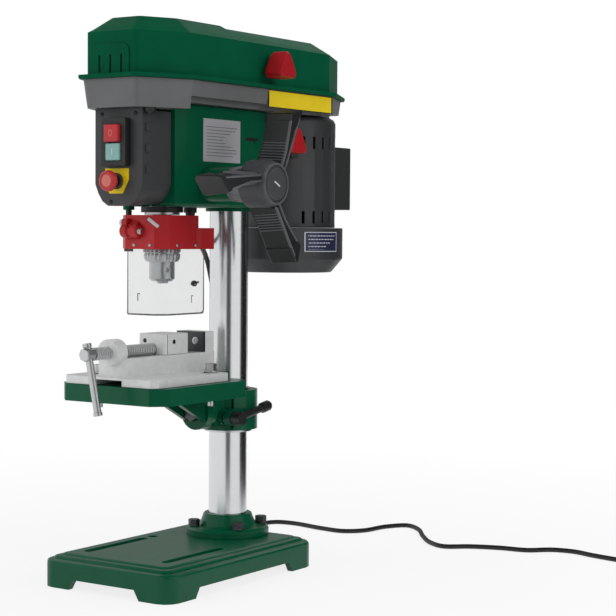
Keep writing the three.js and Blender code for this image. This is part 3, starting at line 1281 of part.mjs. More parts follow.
function vBelt() {
  const slope = (PULLEY_STEP_HEIGHT / 2 - PULLEY_GROOVE_HALF) / PULLEY_GROOVE;
  const inner = PULLEY_MIDDLE_RADIUS - PULLEY_GROOVE + 2 * FIT;
  const outer = PULLEY_MIDDLE_RADIUS + BELT_PROUD;
  const half = BELT_INNER_HALF + (outer - inner) * slope;
  return cut(
    loft([beltRing(outer, BELT_Z - half), beltRing(outer, BELT_Z + half)]),
    loft([
      beltRing(outer + FIT, BELT_Z - half - FIT * slope), beltRing(inner, BELT_Z - BELT_INNER_HALF),
      beltRing(inner, BELT_Z + BELT_INNER_HALF), beltRing(outer + FIT, BELT_Z + half + FIT * slope),
    ]),
  );
}

// Motor: housing with its slide bars, lower cap, capacitor box and rotor. Its vents leave out the saddle's
// side
// and the side opposite
function motorVents(z) {
  const vents = [];
  for (let k = 0; k < MOTOR_VENTS; k += 1) {
    const angle = 2 * Math.PI * (k + 0.5) / MOTOR_VENTS;
    if (Math.abs(MOTOR_RADIUS * Math.cos(angle)) < MOTOR_SADDLE_HALF) continue;
    const vent = block(MOTOR_RADIUS - MOTOR_WALL - OVERRUN, MOTOR_RADIUS + OVERRUN,
      -MOTOR_VENT_WIDTH / 2, MOTOR_VENT_WIDTH / 2, z, z + MOTOR_VENT_HEIGHT);
    vents.push(vent.rotateZ(angle).translate(0, MOTOR_Y, 0));
  }
  return vents;
}

function motorHousing() {
  const shell = upright([
    [0, MOTOR_BOTTOM], [MOTOR_RADIUS, MOTOR_BOTTOM], [MOTOR_RADIUS, MOTOR_TOP - MOTOR_CORNER],
    [MOTOR_RADIUS - MOTOR_CORNER / 3, MOTOR_TOP - MOTOR_CORNER / 3], [MOTOR_RADIUS - MOTOR_CORNER, MOTOR_TOP],
    [0, MOTOR_TOP],
  ], 0, MOTOR_Y);
  const bars = [-EAR_X, EAR_X].map((x) =>
    alongY(bar(SLIDE_BAR_RADIUS, EAR_REACH - EAR_BORE_DEPTH + MOTOR_TRAVEL + SLIDE_FIT,
      MOTOR_Y - MOTOR_RADIUS / 2),
      x, EAR_Z, SMALL_SIDES));
  const saddle = block(-MOTOR_SADDLE_HALF, MOTOR_SADDLE_HALF, MOTOR_SADDLE_Y, MOTOR_Y - MOTOR_RADIUS / 2,
    EAR_Z - MOTOR_SADDLE_HEIGHT / 2, EAR_Z + MOTOR_SADDLE_HEIGHT / 2);
  return cut(
    join(shell, saddle, ...bars),
    upright(bar(MOTOR_RADIUS - MOTOR_WALL, MOTOR_BOTTOM - OVERRUN, MOTOR_TOP - MOTOR_WALL), 0, MOTOR_Y),
    upright(bar(MOTOR_SHAFT_RADIUS + SLIDE_FIT, MOTOR_TOP - 2 * MOTOR_WALL, MOTOR_TOP + OVERRUN), 0,
      MOTOR_Y, SMALL_SIDES),
    ...motorVents(MOTOR_BOTTOM + MOTOR_UPPER_VENT),
    ...motorVents(MOTOR_BOTTOM + MOTOR_LOWER_VENT),
  );
}

function motorEndCap() {
  const top = MOTOR_BOTTOM - FIT;
  const bottom = top - MOTOR_CAP_HEIGHT;
  const wall = MOTOR_WALL;
  const mouth = MOTOR_RADIUS - 2 * wall;
  return upright([
    [0, bottom], [MOTOR_CAP_RADIUS - MOTOR_CAP_TAPER, bottom], [MOTOR_CAP_RADIUS, bottom + MOTOR_CAP_BEVEL],
    [MOTOR_CAP_RADIUS, top], [mouth, top], [mouth, top - wall], [MOTOR_CAP_RADIUS - wall, top - wall],
    [MOTOR_CAP_RADIUS - wall, bottom + MOTOR_CAP_BEVEL], [MOTOR_CAP_RADIUS - MOTOR_CAP_TAPER - wall,
      bottom + wall],
    [0, bottom + wall],
  ], 0, MOTOR_Y);
}

function capacitorBox() {
  const rear = MOTOR_Y + MOTOR_RADIUS + CAPACITOR_REACH;
  const bottom = MOTOR_BOTTOM + CAPACITOR_UP;
  const outline = rounded(rectangle(-CAPACITOR_HALF_WIDTH, CAPACITOR_HALF_WIDTH,
    MOTOR_Y + MOTOR_RADIUS / 2, rear),
    CAPACITOR_CORNER);
  const clear = upright(bar(MOTOR_RADIUS + FIT, bottom - OVERRUN, bottom + CAPACITOR_HEIGHT + OVERRUN), 0,
    MOTOR_Y);
  return cut(prism(outline, bottom, bottom + CAPACITOR_HEIGHT), clear);
}

function motorShaft() {
  const rotor = MOTOR_BOTTOM + ROTOR_UP;
  const top = PULLEY_BOTTOM + PULLEY_HEIGHT - FIT;
  return upright([
    [0, MOTOR_BOTTOM], [MOTOR_SHAFT_RADIUS, MOTOR_BOTTOM], [MOTOR_SHAFT_RADIUS, rotor], [ROTOR_RADIUS, rotor],
    [ROTOR_RADIUS, rotor + ROTOR_LENGTH], [MOTOR_SHAFT_RADIUS, rotor + ROTOR_LENGTH], [MOTOR_SHAFT_RADIUS,
      top],
    [0, top],
  ], 0, MOTOR_Y, MEDIUM_SIDES);
}

// Switch box
function switchOutline(shrink) {
  const right = SWITCH_TAPER_SHARES.map(([wide, up]) =>
    [wide * SWITCH_HALF_WIDTH - shrink, SWITCH_BOTTOM + up * SWITCH_HEIGHT + shrink * (up < 0.1 ? 1 : 0)]);
  const left = right.map(([x, z]) => [-x, z]).reverse();
  const top = SWITCH_TOP - shrink;
  return [[SWITCH_HALF_WIDTH - shrink, top], ...right, ...left, [-SWITCH_HALF_WIDTH + shrink, top]];
}

const BEZEL_TOP = SWITCH_TOP - BEZEL_DOWN;
const STOP_Z = BEZEL_TOP - BUTTON_DOWN - BUTTON_HEIGHT / 2;
const START_Z = STOP_Z - BUTTON_PITCH;
const ESTOP_Z = SWITCH_BOTTOM + ESTOP_UP;

function switchHousing() {
  const coverRear = SWITCH_FRONT + SWITCH_COVER_DEPTH;
  const rear = HEAD_NOSE_Y - FIT;
  const tabs = [];
  for (let k = 0; k < TABS; k += 1) {
    const z = SWITCH_TOP - TAB_DOWN - k * TAB_PITCH;
    const y = SWITCH_FRONT + SWITCH_COVER_DEPTH / 3;
    tabs.push(block(-SWITCH_HALF_WIDTH - TAB_PROUD, SWITCH_HALF_WIDTH + TAB_PROUD, y, y + TAB_DEPTH,
      z - TAB_HEIGHT / 2, z + TAB_HEIGHT / 2));
  }
  const whole = join(
    prismY(switchOutline(0), SWITCH_FRONT, coverRear),
    prismY(switchOutline(SWITCH_STEP), coverRear - SWITCH_WALL, rear),
    alongY(bar(ESTOP_COLLAR_RADIUS, SWITCH_FRONT - ESTOP_COLLAR_HEIGHT, SWITCH_FRONT + SWITCH_WALL),
      ESTOP_X, ESTOP_Z,
      MEDIUM_SIDES),
    ...tabs,
  );
  const window = BUTTON_WIDTH / 2 + FIT;
  const low = START_Z - BUTTON_HEIGHT / 2 - FIT;
  const high = STOP_Z + BUTTON_HEIGHT / 2 + FIT;
  const inner = switchOutline(SWITCH_STEP + SWITCH_WALL);
  return cut(
    whole,
    prismY(inner, SWITCH_FRONT + SWITCH_WALL, rear + OVERRUN),
    block(-window, window, SWITCH_FRONT - OVERRUN, SWITCH_FRONT + 2 * SWITCH_WALL, low, high),
    alongY(bar(ESTOP_STEM_RADIUS + FIT, SWITCH_FRONT - ESTOP_COLLAR_HEIGHT - OVERRUN,
      SWITCH_FRONT + 2 * SWITCH_WALL),
      ESTOP_X, ESTOP_Z, MEDIUM_SIDES),
  );
}

function switchBezel() {
  const face = SWITCH_FRONT - FIT;
  const pocket = (z) => block(-BUTTON_WIDTH / 2 - FIT, BUTTON_WIDTH / 2 + FIT, face - BEZEL_DEPTH - OVERRUN,
    face + OVERRUN, z - BUTTON_HEIGHT / 2 - FIT, z + BUTTON_HEIGHT / 2 + FIT);
  const frame = prismY(rounded(rectangle(-BEZEL_HALF_WIDTH, BEZEL_HALF_WIDTH, BEZEL_TOP - BEZEL_HEIGHT,
    BEZEL_TOP),
    BUTTON_CORNER), face - BEZEL_DEPTH, face);
  return cut(frame, pocket(STOP_Z), pocket(START_Z));
}

function pushButton(z, proud) {
  const front = SWITCH_FRONT - FIT - BEZEL_DEPTH - proud;
  const outline = (shrink) => rounded(rectangle(-BUTTON_WIDTH / 2 + shrink, BUTTON_WIDTH / 2 - shrink,
    z - BUTTON_HEIGHT / 2 + shrink, z + BUTTON_HEIGHT / 2 - shrink), BUTTON_CORNER - shrink / 2);
  const at = (y, shrink) => outline(shrink).map(([x, w]) => [x, y, w]);
  return loft([
    at(front + BUTTON_LENGTH, 0).reverse(), at(front + BUTTON_CORNER, 0).reverse(), at(front,
      BUTTON_CORNER / 2).reverse(),
  ].reverse());
}

function estopPlunger() {
  const front = SWITCH_FRONT - ESTOP_COLLAR_HEIGHT - ESTOP_GAP;
  return alongY(bar(ESTOP_STEM_RADIUS, front, front + ESTOP_STEM_LENGTH), ESTOP_X, ESTOP_Z, MEDIUM_SIDES);
}

function estopHead() {
  const back = SWITCH_FRONT - ESTOP_COLLAR_HEIGHT - ESTOP_GAP - FIT;
  const edge = ESTOP_THICKNESS / 4;
  return alongY([
    [0, back - ESTOP_THICKNESS], [ESTOP_RADIUS - 2 * edge, back - ESTOP_THICKNESS],
    [ESTOP_RADIUS - edge / 2, back - ESTOP_THICKNESS + edge], [ESTOP_RADIUS,
      back - ESTOP_THICKNESS + 2 * edge],
    [ESTOP_RADIUS - edge / 2, back - edge], [ESTOP_STEM_RADIUS + FIT, back], [0, back],
  ], ESTOP_X, ESTOP_Z, MEDIUM_SIDES);
}

// Chuck guard: a bent holder that swings on an upright rod, and a clear shield that slides in it
function guardPath(inset) {
  const front = -THROAT - GUARD_FRONT + inset;
  const chamfer = GUARD_CHAMFER - inset * (Math.SQRT2 - 1) * Math.SQRT2 / 2;
  const left = GUARD_LEFT_SIDE - inset;
  const right = GUARD_SIDE - inset;
  return [[-left, front + chamfer], [-left + chamfer, front], [right - chamfer, front], [right,
    front + chamfer]];
}

function guardHolder() {
  const path = guardPath(0);
  const leftEnd = [path[0][0], path[0][1] + GUARD_LEFT_RETURN];
  const turn = -THROAT + GUARD_RIGHT_BEHIND;
  const right = [path[3][0], turn];
  const arm = [
    [path[3][0], turn - GUARD_OUTSET], [path[3][0] + GUARD_OUTSET, turn],
    [path[3][0] + GUARD_OUTSET, turn + GUARD_ARM_LENGTH],
  ];
  const upper = wallOutline([leftEnd, ...path, right], GUARD_WALL);
  const lower = wallOutline([path[3], ...arm], GUARD_WALL);
  const pivot = [-GUARD_PIVOT_X, -THROAT - GUARD_PIVOT_Y];
  const screwZ = GUARD_TOP - GUARD_HEIGHT / 2;
  const whole = join(
    prism(upper, GUARD_BOTTOM, GUARD_TOP),
    prism(lower, GUARD_BOTTOM, GUARD_BOTTOM + GUARD_ARM_HEIGHT),
    upright(bar(GUARD_BOSS_RADIUS, GUARD_BOTTOM, GUARD_TOP), ...pivot, MEDIUM_SIDES),
    alongY(bar(GUARD_SCREW_RADIUS, path[1][1] - GUARD_SCREW_RADIUS, path[1][1] + GUARD_WALL / 2), 0, screwZ,
      SMALL_SIDES),
  );
  return cut(
    whole,
    prism(guardRoom(), GUARD_BOTTOM - OVERRUN, GUARD_TOP + OVERRUN),
    upright(bar(GUARD_ROD_RADIUS + FIT, GUARD_BOTTOM - OVERRUN, GUARD_TOP + OVERRUN), ...pivot, SMALL_SIDES),
  );
}

// The room inside the holder, where the shield and the chuck are
function guardRoom() {
  const inner = guardPath(GUARD_WALL);
  const rear = -THROAT + GUARD_RIGHT_BEHIND - GUARD_OUTSET;
  return [...inner, [inner[3][0], rear], [inner[0][0], rear]];
}

function guardShield() {
  const top = GUARD_BOTTOM + SHIELD_OVERLAP;
  const path = guardPath(GUARD_WALL + FIT);
  return prism(wallOutline([...path, [path[3][0], -THROAT + SHIELD_REACH]], SHIELD_WALL),
    top - SHIELD_HEIGHT, top);
}

function guardRod() {
  const seat = GUARD_BOTTOM - FIT;
  return upright([
    [0, seat - GUARD_ROD_HEAD], [GUARD_ROD_HEAD_RADIUS, seat - GUARD_ROD_HEAD], [GUARD_ROD_HEAD_RADIUS, seat],
    [GUARD_ROD_RADIUS, seat], [GUARD_ROD_RADIUS, GUARD_LUG_TOP], [0, GUARD_LUG_TOP],
  ], -GUARD_PIVOT_X, -THROAT - GUARD_PIVOT_Y, SMALL_SIDES);
}

// Bracket on the column, its bush and clamp, and the tilting table
function columnBush() {
  const inner = COLUMN_RADIUS + FIT;
  const lip = BRACKET_BOTTOM - FIT;
  return upright([
    [inner, lip - BUSH_LIP], [BUSH_LIP_RADIUS, lip - BUSH_LIP], [BUSH_LIP_RADIUS, lip], [BUSH_RADIUS, lip],
    [BUSH_RADIUS, BRACKET_TOP + BUSH_LIP], [inner, BRACKET_TOP + BUSH_LIP], [inner, lip - BUSH_LIP],
  ], 0, 0);
}

function tableBracket() {
  const middle = TILT_Z;
  const whole = join(
    upright(bar(BRACKET_RADIUS, BRACKET_BOTTOM, BRACKET_TOP), 0, 0),
    block(-BRACKET_NECK_HALF, BRACKET_NECK_HALF, -BRACKET_FACE, 0,
      middle - BRACKET_NECK_HEIGHT / 2, middle + BRACKET_NECK_HEIGHT / 2),
    alongY(bar(TILT_DISC_RADIUS, -BRACKET_FACE - TILT_DISC_THICKNESS, -BRACKET_FACE), 0, TILT_Z),
    alongX(bar(CLAMP_BOSS_RADIUS, 0, CLAMP_BOSS_REACH), -CLAMP_Y, CLAMP_Z, MEDIUM_SIDES),
    block(0, CLAMP_BOSS_REACH, -CLAMP_Y, 0, CLAMP_Z - CLAMP_BOSS_RADIUS, CLAMP_Z + CLAMP_BOSS_RADIUS),
  );
  return cut(
    whole,
    upright(bar(BUSH_RADIUS + FIT, BRACKET_BOTTOM - OVERRUN, BRACKET_TOP + OVERRUN), 0, 0),
    alongY(bar(TILT_BOLT_RADIUS + FIT, -BRACKET_FACE - TILT_DISC_THICKNESS - OVERRUN, -BUSH_RADIUS), 0,
      TILT_Z,
      SMALL_SIDES),
    alongX(bar(CLAMP_SCREW_RADIUS + FIT, CLAMP_BOSS_REACH - CLAMP_SCREW_LENGTH - FIT,
      CLAMP_BOSS_REACH + OVERRUN),
      -CLAMP_Y, CLAMP_Z, SMALL_SIDES),
    block(CLAMP_SLIT_X - CLAMP_SLIT / 2, CLAMP_SLIT_X + CLAMP_SLIT / 2,
      -CLAMP_Y - CLAMP_BOSS_RADIUS - OVERRUN, 0,
      BRACKET_BOTTOM - OVERRUN, BRACKET_TOP + OVERRUN),
  );
}

function clampLever() {
  const near = CLAMP_BOSS_REACH + FIT;
  const middle = near + CLAMP_HUB_LENGTH / 2;
  const stretch = (profile) => {
    const rod = upright(profile, 0, 0,
      SMALL_SIDES).rotateX(THREE.MathUtils.degToRad(CLAMP_RISE) - Math.PI / 2);
    return rod.translate(middle, -CLAMP_Y, CLAMP_Z);
  };
  return join(
    alongX(bar(CLAMP_SCREW_RADIUS, near - CLAMP_SCREW_LENGTH, near + CLAMP_HUB_LENGTH / 2), -CLAMP_Y, CLAMP_Z,
      SMALL_SIDES),
    alongX(bar(CLAMP_HUB_RADIUS, near, near + CLAMP_HUB_LENGTH), -CLAMP_Y, CLAMP_Z, MEDIUM_SIDES),
    stretch([[0, 0], [CLAMP_ARM_RADIUS, 0], [CLAMP_ARM_RADIUS, CLAMP_ARM_LENGTH - CLAMP_GRIP_LENGTH],
      [CLAMP_GRIP_RADIUS, CLAMP_ARM_LENGTH - CLAMP_GRIP_LENGTH + OVERRUN], [CLAMP_GRIP_RADIUS,
        CLAMP_ARM_LENGTH - OVERRUN],
      [CLAMP_ARM_RADIUS, CLAMP_ARM_LENGTH], [0, CLAMP_ARM_LENGTH]]),
  );
}

function tableOutline(shrink) {
  const half = TABLE_HALF_WIDTH;
  const outline = [
    [half - TABLE_CHAMFER, -TABLE_FRONT], [half, -TABLE_FRONT + TABLE_CHAMFER],
    [half, -TABLE_REAR - TABLE_CHAMFER], [half - TABLE_CHAMFER, -TABLE_REAR],
    [-half + TABLE_CHAMFER, -TABLE_REAR], [-half, -TABLE_REAR - TABLE_CHAMFER],
    [-half, -TABLE_FRONT + TABLE_CHAMFER], [-half + TABLE_CHAMFER, -TABLE_FRONT],
  ];
  return grown(outline, -shrink);
}

const TABLE_MIDDLE_Y = -(TABLE_FRONT + TABLE_REAR) / 2;

function table() {
  const bottom = TABLE_TOP - TABLE_DEPTH;
  const plateBottom = TABLE_TOP - TABLE_PLATE;
  const faceY = -BRACKET_FACE - TILT_DISC_THICKNESS - FIT;
  const plate = cut(
    prism(tableOutline(0), bottom, TABLE_TOP),
    prism(tableOutline(TABLE_SKIRT), bottom - OVERRUN, plateBottom),
  );
  const discRear = Math.min(faceY, -TABLE_REAR);
  const arm = join(
    prismX([
      [discRear, TILT_Z - TILT_DISC_RADIUS / 2], [discRear, plateBottom + OVERRUN],
      [discRear - TABLE_ARM_REACH, plateBottom + OVERRUN], [discRear - TABLE_ARM_REACH, bottom],
      [discRear - TILT_DISC_THICKNESS, TILT_Z - TILT_DISC_RADIUS / 2],
    ], -TABLE_ARM_HALF, TABLE_ARM_HALF),
    alongY(bar(TILT_DISC_RADIUS, faceY - TILT_DISC_THICKNESS, faceY), 0, TILT_Z),
  );
  const arms = cut(arm, prismX([
    [faceY - TILT_DISC_THICKNESS, TILT_Z - 2 * TILT_DISC_RADIUS], [faceY - TILT_DISC_THICKNESS, plateBottom],
    [faceY - 2 * TABLE_ARM_REACH, plateBottom], [faceY - 2 * TABLE_ARM_REACH, TILT_Z - 2 * TILT_DISC_RADIUS],
  ], -TABLE_ARM_HALF + TABLE_SKIRT, TABLE_ARM_HALF - TABLE_SKIRT));
  const slots = [45, 135, 225, 315].map((turn) => {
    const middle = (TABLE_SLOT_NEAR + TABLE_SLOT_FAR) / 2;
    const angle = THREE.MathUtils.degToRad(turn);
    const outline = slotOutline(middle * Math.cos(angle), TABLE_MIDDLE_Y + middle * Math.sin(angle),
      TABLE_SLOT_FAR - TABLE_SLOT_NEAR, TABLE_SLOT_WIDTH, turn);
    return prism(outline, plateBottom - OVERRUN, TABLE_TOP + OVERRUN);
  });
  return cut(
    join(plate, arms),
    upright(bar(TABLE_HOLE_RADIUS, plateBottom - OVERRUN, TABLE_TOP + OVERRUN), 0, -THROAT, MEDIUM_SIDES),
    alongY(bar(TILT_BOLT_RADIUS + 2 * FIT, faceY - TILT_DISC_THICKNESS - OVERRUN, faceY + OVERRUN), 0,
      TILT_Z, SMALL_SIDES),
    ...slots,
  );
}

function tiltBolt() {
  const seat = -BRACKET_FACE - 2 * TILT_DISC_THICKNESS - 2 * FIT;
  return join(
    alongY(bar(TILT_BOLT_RADIUS, seat - TILT_BOLT_HEAD, -BUSH_RADIUS - 2 * FIT - OVERRUN), 0, TILT_Z,
      SMALL_SIDES),
    alongY(bar(TILT_BOLT_HEAD_RADIUS, seat - TILT_BOLT_HEAD, seat), 0, TILT_Z, HEX_SIDES),
  );
}

// Drill vise
function viseFlangeOutline() {
  return [
    [VISE_HALF_WIDTH - VISE_CHAMFER, -VISE_FRONT], [VISE_HALF_WIDTH, -VISE_FRONT + VISE_CHAMFER],
    [VISE_HALF_WIDTH, -VISE_FLANGE_REAR - VISE_CHAMFER], [VISE_HALF_WIDTH - VISE_CHAMFER, -VISE_FLANGE_REAR],
    [-VISE_HALF_WIDTH + VISE_CHAMFER, -VISE_FLANGE_REAR], [-VISE_HALF_WIDTH,
      -VISE_FLANGE_REAR - VISE_CHAMFER],
    [-VISE_HALF_WIDTH, -VISE_FRONT + VISE_CHAMFER], [-VISE_HALF_WIDTH + VISE_CHAMFER, -VISE_FRONT],
  ];
}

function viseBase() {
  const flangeTop = VISE_BOTTOM + VISE_FLANGE;
  const noseRear = -VISE_FRONT + VISE_NOSE_LENGTH;
  const whole = join(
    prism(viseFlangeOutline(), VISE_BOTTOM, flangeTop),
    block(-VISE_BODY_HALF, VISE_BODY_HALF, -VISE_FRONT + VISE_BODY_SETBACK, -VISE_BODY_REAR, VISE_BOTTOM,
      VISE_BODY_TOP),
    alongY(bar(SCREW_BOSS_RADIUS, -VISE_FRONT, noseRear), 0, SCREW_Z, MEDIUM_SIDES),
    block(-JAW_HALF, JAW_HALF, FIXED_JAW_FACE, -VISE_BODY_REAR, VISE_BODY_TOP, JAW_TOP),
  );
  const channelFloor = flangeTop;
  const slots = [-VISE_EAR_SLOT_X, VISE_EAR_SLOT_X].map((x) => {
    const y = x > 0 ? -VISE_BOLT_REAR : -VISE_BOLT_FRONT;
    return prism(slotOutline(x, y, VISE_EAR_SLOT_LENGTH, VISE_EAR_SLOT_WIDTH, 90), VISE_BOTTOM - OVERRUN,
      flangeTop + OVERRUN);
  });
  return cut(
    whole,
    block(-VISE_CHANNEL_HALF, VISE_CHANNEL_HALF, noseRear, FIXED_JAW_FACE, channelFloor,
      VISE_BODY_TOP + OVERRUN),
    block(-VISE_ARCH_HALF, VISE_ARCH_HALF, -VISE_FRONT - OVERRUN, FIXED_JAW_FACE, VISE_BOTTOM - OVERRUN,
      VISE_BOTTOM + VISE_ARCH_HEIGHT),
    alongY(bar(SCREW_RADIUS + FIT, -VISE_FRONT - OVERRUN, noseRear + OVERRUN), 0, SCREW_Z, MEDIUM_SIDES),
    ...slots,
  );
}

function viseMovingJaw() {
  const front = MOVING_JAW_FACE - MOVING_JAW_LENGTH;
  const bottom = VISE_BODY_TOP + JAW_RISE / 10;
  const tongue = block(-VISE_CHANNEL_HALF + FIT, VISE_CHANNEL_HALF - FIT, front + JAW_PLATE_THICKNESS,
    MOVING_JAW_FACE - JAW_PLATE_THICKNESS, VISE_BOTTOM + VISE_FLANGE + FIT, bottom + OVERRUN);
  const outline = rounded(rectangle(-JAW_HALF, JAW_HALF, front, MOVING_JAW_FACE), JAW_RISE);
  return cut(
    join(prism(outline, bottom, JAW_TOP), tongue),
    alongY(bar(SCREW_RADIUS + FIT, front - OVERRUN, front + SCREW_TIP + FIT), 0, SCREW_Z, MEDIUM_SIDES),
  );
}

function fixedJawPlate() {
  return block(-JAW_HALF, JAW_HALF, FIXED_JAW_FACE - FIT - JAW_PLATE_THICKNESS, FIXED_JAW_FACE - FIT,
    VISE_BODY_TOP + FIT, JAW_TOP);
}

function viseScrew() {
  const tip = MOVING_JAW_FACE - MOVING_JAW_LENGTH + SCREW_TIP;
  const headEnd = -VISE_FRONT - SCREW_HEAD_REACH;
  const shoulder = headEnd + SCREW_HEAD_LENGTH;
  const profile = [[0, headEnd], [SCREW_HEAD_RADIUS - SCREW_THREAD, headEnd], [SCREW_HEAD_RADIUS,
    headEnd + SCREW_THREAD],
    [SCREW_HEAD_RADIUS, shoulder], [SCREW_RADIUS - SCREW_THREAD, shoulder]];
  const turns = Math.floor((tip - SCREW_TIP - shoulder) / SCREW_PITCH);
  for (let k = 0; k < turns; k += 1) {
    const y = shoulder + (k + 0.5) * SCREW_PITCH;
    profile.push([SCREW_RADIUS - SCREW_THREAD, y - SCREW_PITCH / 4], [SCREW_RADIUS, y + SCREW_PITCH / 4]);
  }
  profile.push([SCREW_RADIUS - SCREW_THREAD, tip - SCREW_TIP], [SCREW_RADIUS - SCREW_THREAD, tip], [0, tip]);
  const cross = tommyStretch(bar(TOMMY_RADIUS + FIT, -TOMMY_LENGTH, TOMMY_LENGTH));
  return cut(alongY(profile, 0, SCREW_Z, SCREW_SIDES), cross);
}

// A shape along the leaning bar through the screw's head, with its zero at the screw's axis
function tommyStretch(profile) {
  const rod = upright(profile, 0, 0, SMALL_SIDES).rotateY(THREE.MathUtils.degToRad(-TOMMY_LEAN));
  return rod.translate(0, -VISE_FRONT - SCREW_HEAD_REACH + TOMMY_PLACE_SHARE * SCREW_HEAD_LENGTH, SCREW_Z);
}

function viseHandleBar() {
  const top = TOMMY_LENGTH - TOMMY_DROP;
  return tommyStretch([
    [0, -TOMMY_DROP - TOMMY_END_LENGTH], [TOMMY_END_RADIUS, -TOMMY_DROP - TOMMY_END_LENGTH],
    [TOMMY_END_RADIUS, -TOMMY_DROP], [TOMMY_RADIUS, -TOMMY_DROP], [TOMMY_RADIUS, top],
    [TOMMY_END_RADIUS, top], [TOMMY_END_RADIUS, top + TOMMY_END_LENGTH], [0, top + TOMMY_END_LENGTH],
  ]);
}

function viseBolt(x, y) {
  const seat = VISE_BOTTOM + VISE_FLANGE + FIT;
  const washerTop = seat + VISE_WASHER_THICKNESS;
  const nutTop = TABLE_TOP - TABLE_PLATE - FIT;
  const end = TABLE_TOP - TABLE_DEPTH - VISE_BOLT_BELOW;
  return join(
    upright(bar(VISE_BOLT_RADIUS, end, washerTop), x, y, SMALL_SIDES),
    upright(bar(VISE_WASHER_RADIUS, seat, washerTop), x, y, MEDIUM_SIDES),
    upright(bar(VISE_NUT_RADIUS, washerTop, washerTop + VISE_NUT_HEIGHT), x, y, HEX_SIDES),
    upright(bar(VISE_NUT_RADIUS, nutTop - VISE_NUT_HEIGHT, nutTop), x, y, HEX_SIDES),
  );
}

// Cord, coil and plug
function cordGland() {
  const top = HEAD_BOTTOM - FIT;
  return upright([
    [0, GLAND_BOTTOM], [GLAND_TIP_RADIUS, GLAND_BOTTOM], [GLAND_RADIUS * GLAND_NECK_SHARE,
      top - GLAND_HEIGHT],
    [GLAND_RADIUS, top - GLAND_HEIGHT], [GLAND_RADIUS, top], [0, top],
  ], -GLAND_X, -GLAND_Y, SMALL_SIDES);
}

function tube(points, steps, sides) {
  const section = [];
  for (let k = 0; k < sides; k += 1) {
    const angle = 2 * Math.PI * k / sides;
    section.push(new THREE.Vector2(CORD_RADIUS * Math.cos(angle), CORD_RADIUS * Math.sin(angle)));
  }
  const extrudePath = new THREE.CatmullRomCurve3(points);
  extrudePath.arcLengthDivisions = points.length * CORD_STEPS;
  return new THREE.ExtrudeGeometry(new THREE.Shape(section), { steps, extrudePath });
}

function cordTube() {
  const floor = CORD_POINTS[CORD_POINTS.length - 1][2];
  const rise = (GLAND_BOTTOM - FIT - floor) / (CORD_POINTS[0][2] - floor);
  const points = CORD_POINTS.map(([x, y, z]) => new THREE.Vector3(x, y, floor + rise * (z - floor)));
  return tube(points, CORD_STEPS, CORD_SIDES);
}

// The stored length: the turns spiral in on the floor, climb a layer in half a turn, and spiral out on top
const COIL_TURNS = 2 * COIL_TURNS_IN + COIL_CLIMB_TURNS;
const COIL_TAIL_SHARES = [[0.2, 0.1], [0.4, 0.42], [0.6, 0.8], [0.75, 0.97], [0.87, 1], [1, 1]];

function coilPoint(turns) {
  const climb = THREE.MathUtils.smoothstep(turns, COIL_TURNS_IN, COIL_TURNS_IN + COIL_CLIMB_TURNS);
  const inward = Math.min(turns, COIL_TURNS_IN);
  const outward = Math.max(turns - COIL_TURNS_IN - COIL_CLIMB_TURNS, 0);
  const radius = COIL_OUTER_RADIUS - (inward - outward) * COIL_PITCH;
  const angle = -Math.PI / 2 + 2 * Math.PI * turns;
  const floor = CORD_POINTS[CORD_POINTS.length - 1][2];
  return new THREE.Vector3(COIL_X + radius * Math.cos(angle), COIL_Y + radius * Math.sin(angle),
    floor + climb * COIL_PITCH);
}

// The coil's own run, from a straight lead in to a straight tail that rises to the plug
function coilPoints() {
  const points = [];
  const steps = Math.round(COIL_TURNS * COIL_LOOP_STEPS);
  const start = coilPoint(0);
  const lead = new THREE.Vector3(...CORD_POINTS[CORD_POINTS.length - 1]);
  points.push(lead.clone().setX(lead.x + FIT), lead.clone().lerp(start, 0.5));
  for (let k = 0; k <= steps; k += 1) points.push(coilPoint(COIL_TURNS * k / steps));
  const end = points[points.length - 1];
  const rise = PLUG_RADIUS + FIT - end.z;
  COIL_TAIL_SHARES.forEach(([along, up]) =>
    points.push(new THREE.Vector3(end.x + along * COIL_TAIL, end.y, end.z + up * rise)));
  return points;
}

function leastGap(points, radius) {
  let least = Infinity;
  const apart = COIL_LOOP_STEPS / 2;
  for (let i = 0; i < points.length; i += 1) {
    for (let j = i + apart; j < points.length; j += 1) least = Math.min(least,
      points[i].distanceTo(points[j]));
  }
  return least - 2 * radius;
}

function cordCoil() {
  const points = coilPoints();
  console.log('least gap between the coil\'s turns', leastGap(points, CORD_RADIUS).toFixed(2), 'mm');
  return tube(points, points.length - 1, COIL_SIDES);
}

function plug() {
  const end = coilPoints().pop();
  const profile = [
    [0, 0], [CORD_RADIUS + FIT, 0], [PLUG_NECK_RADIUS, PLUG_NECK * PLUG_NECK_SHARE], [PLUG_NECK_RADIUS,
      PLUG_NECK],
    [PLUG_RADIUS * PLUG_SHOULDER_SHARE, PLUG_NECK + FIT], [PLUG_RADIUS, PLUG_NECK + PLUG_BODY / 4],
    [PLUG_RADIUS, PLUG_NECK + PLUG_BODY], [0, PLUG_NECK + PLUG_BODY],
  ];
  const base = PLUG_NECK + PLUG_BODY;
  const pins = [-PLUG_PIN_HALF_PITCH, PLUG_PIN_HALF_PITCH].map((y) =>
    alongX(bar(PLUG_PIN_RADIUS, base - OVERRUN, base + PLUG_PIN_LENGTH), y, 0, SMALL_SIDES));
  const whole = join(alongX(profile, 0, 0, MEDIUM_SIDES), ...pins);
  return whole.translate(end.x + FIT, end.y, end.z);
}

// The machine, round its column
const machine = new THREE.Group();
machine.position.set(COLUMN_X, COLUMN_Y, 0);

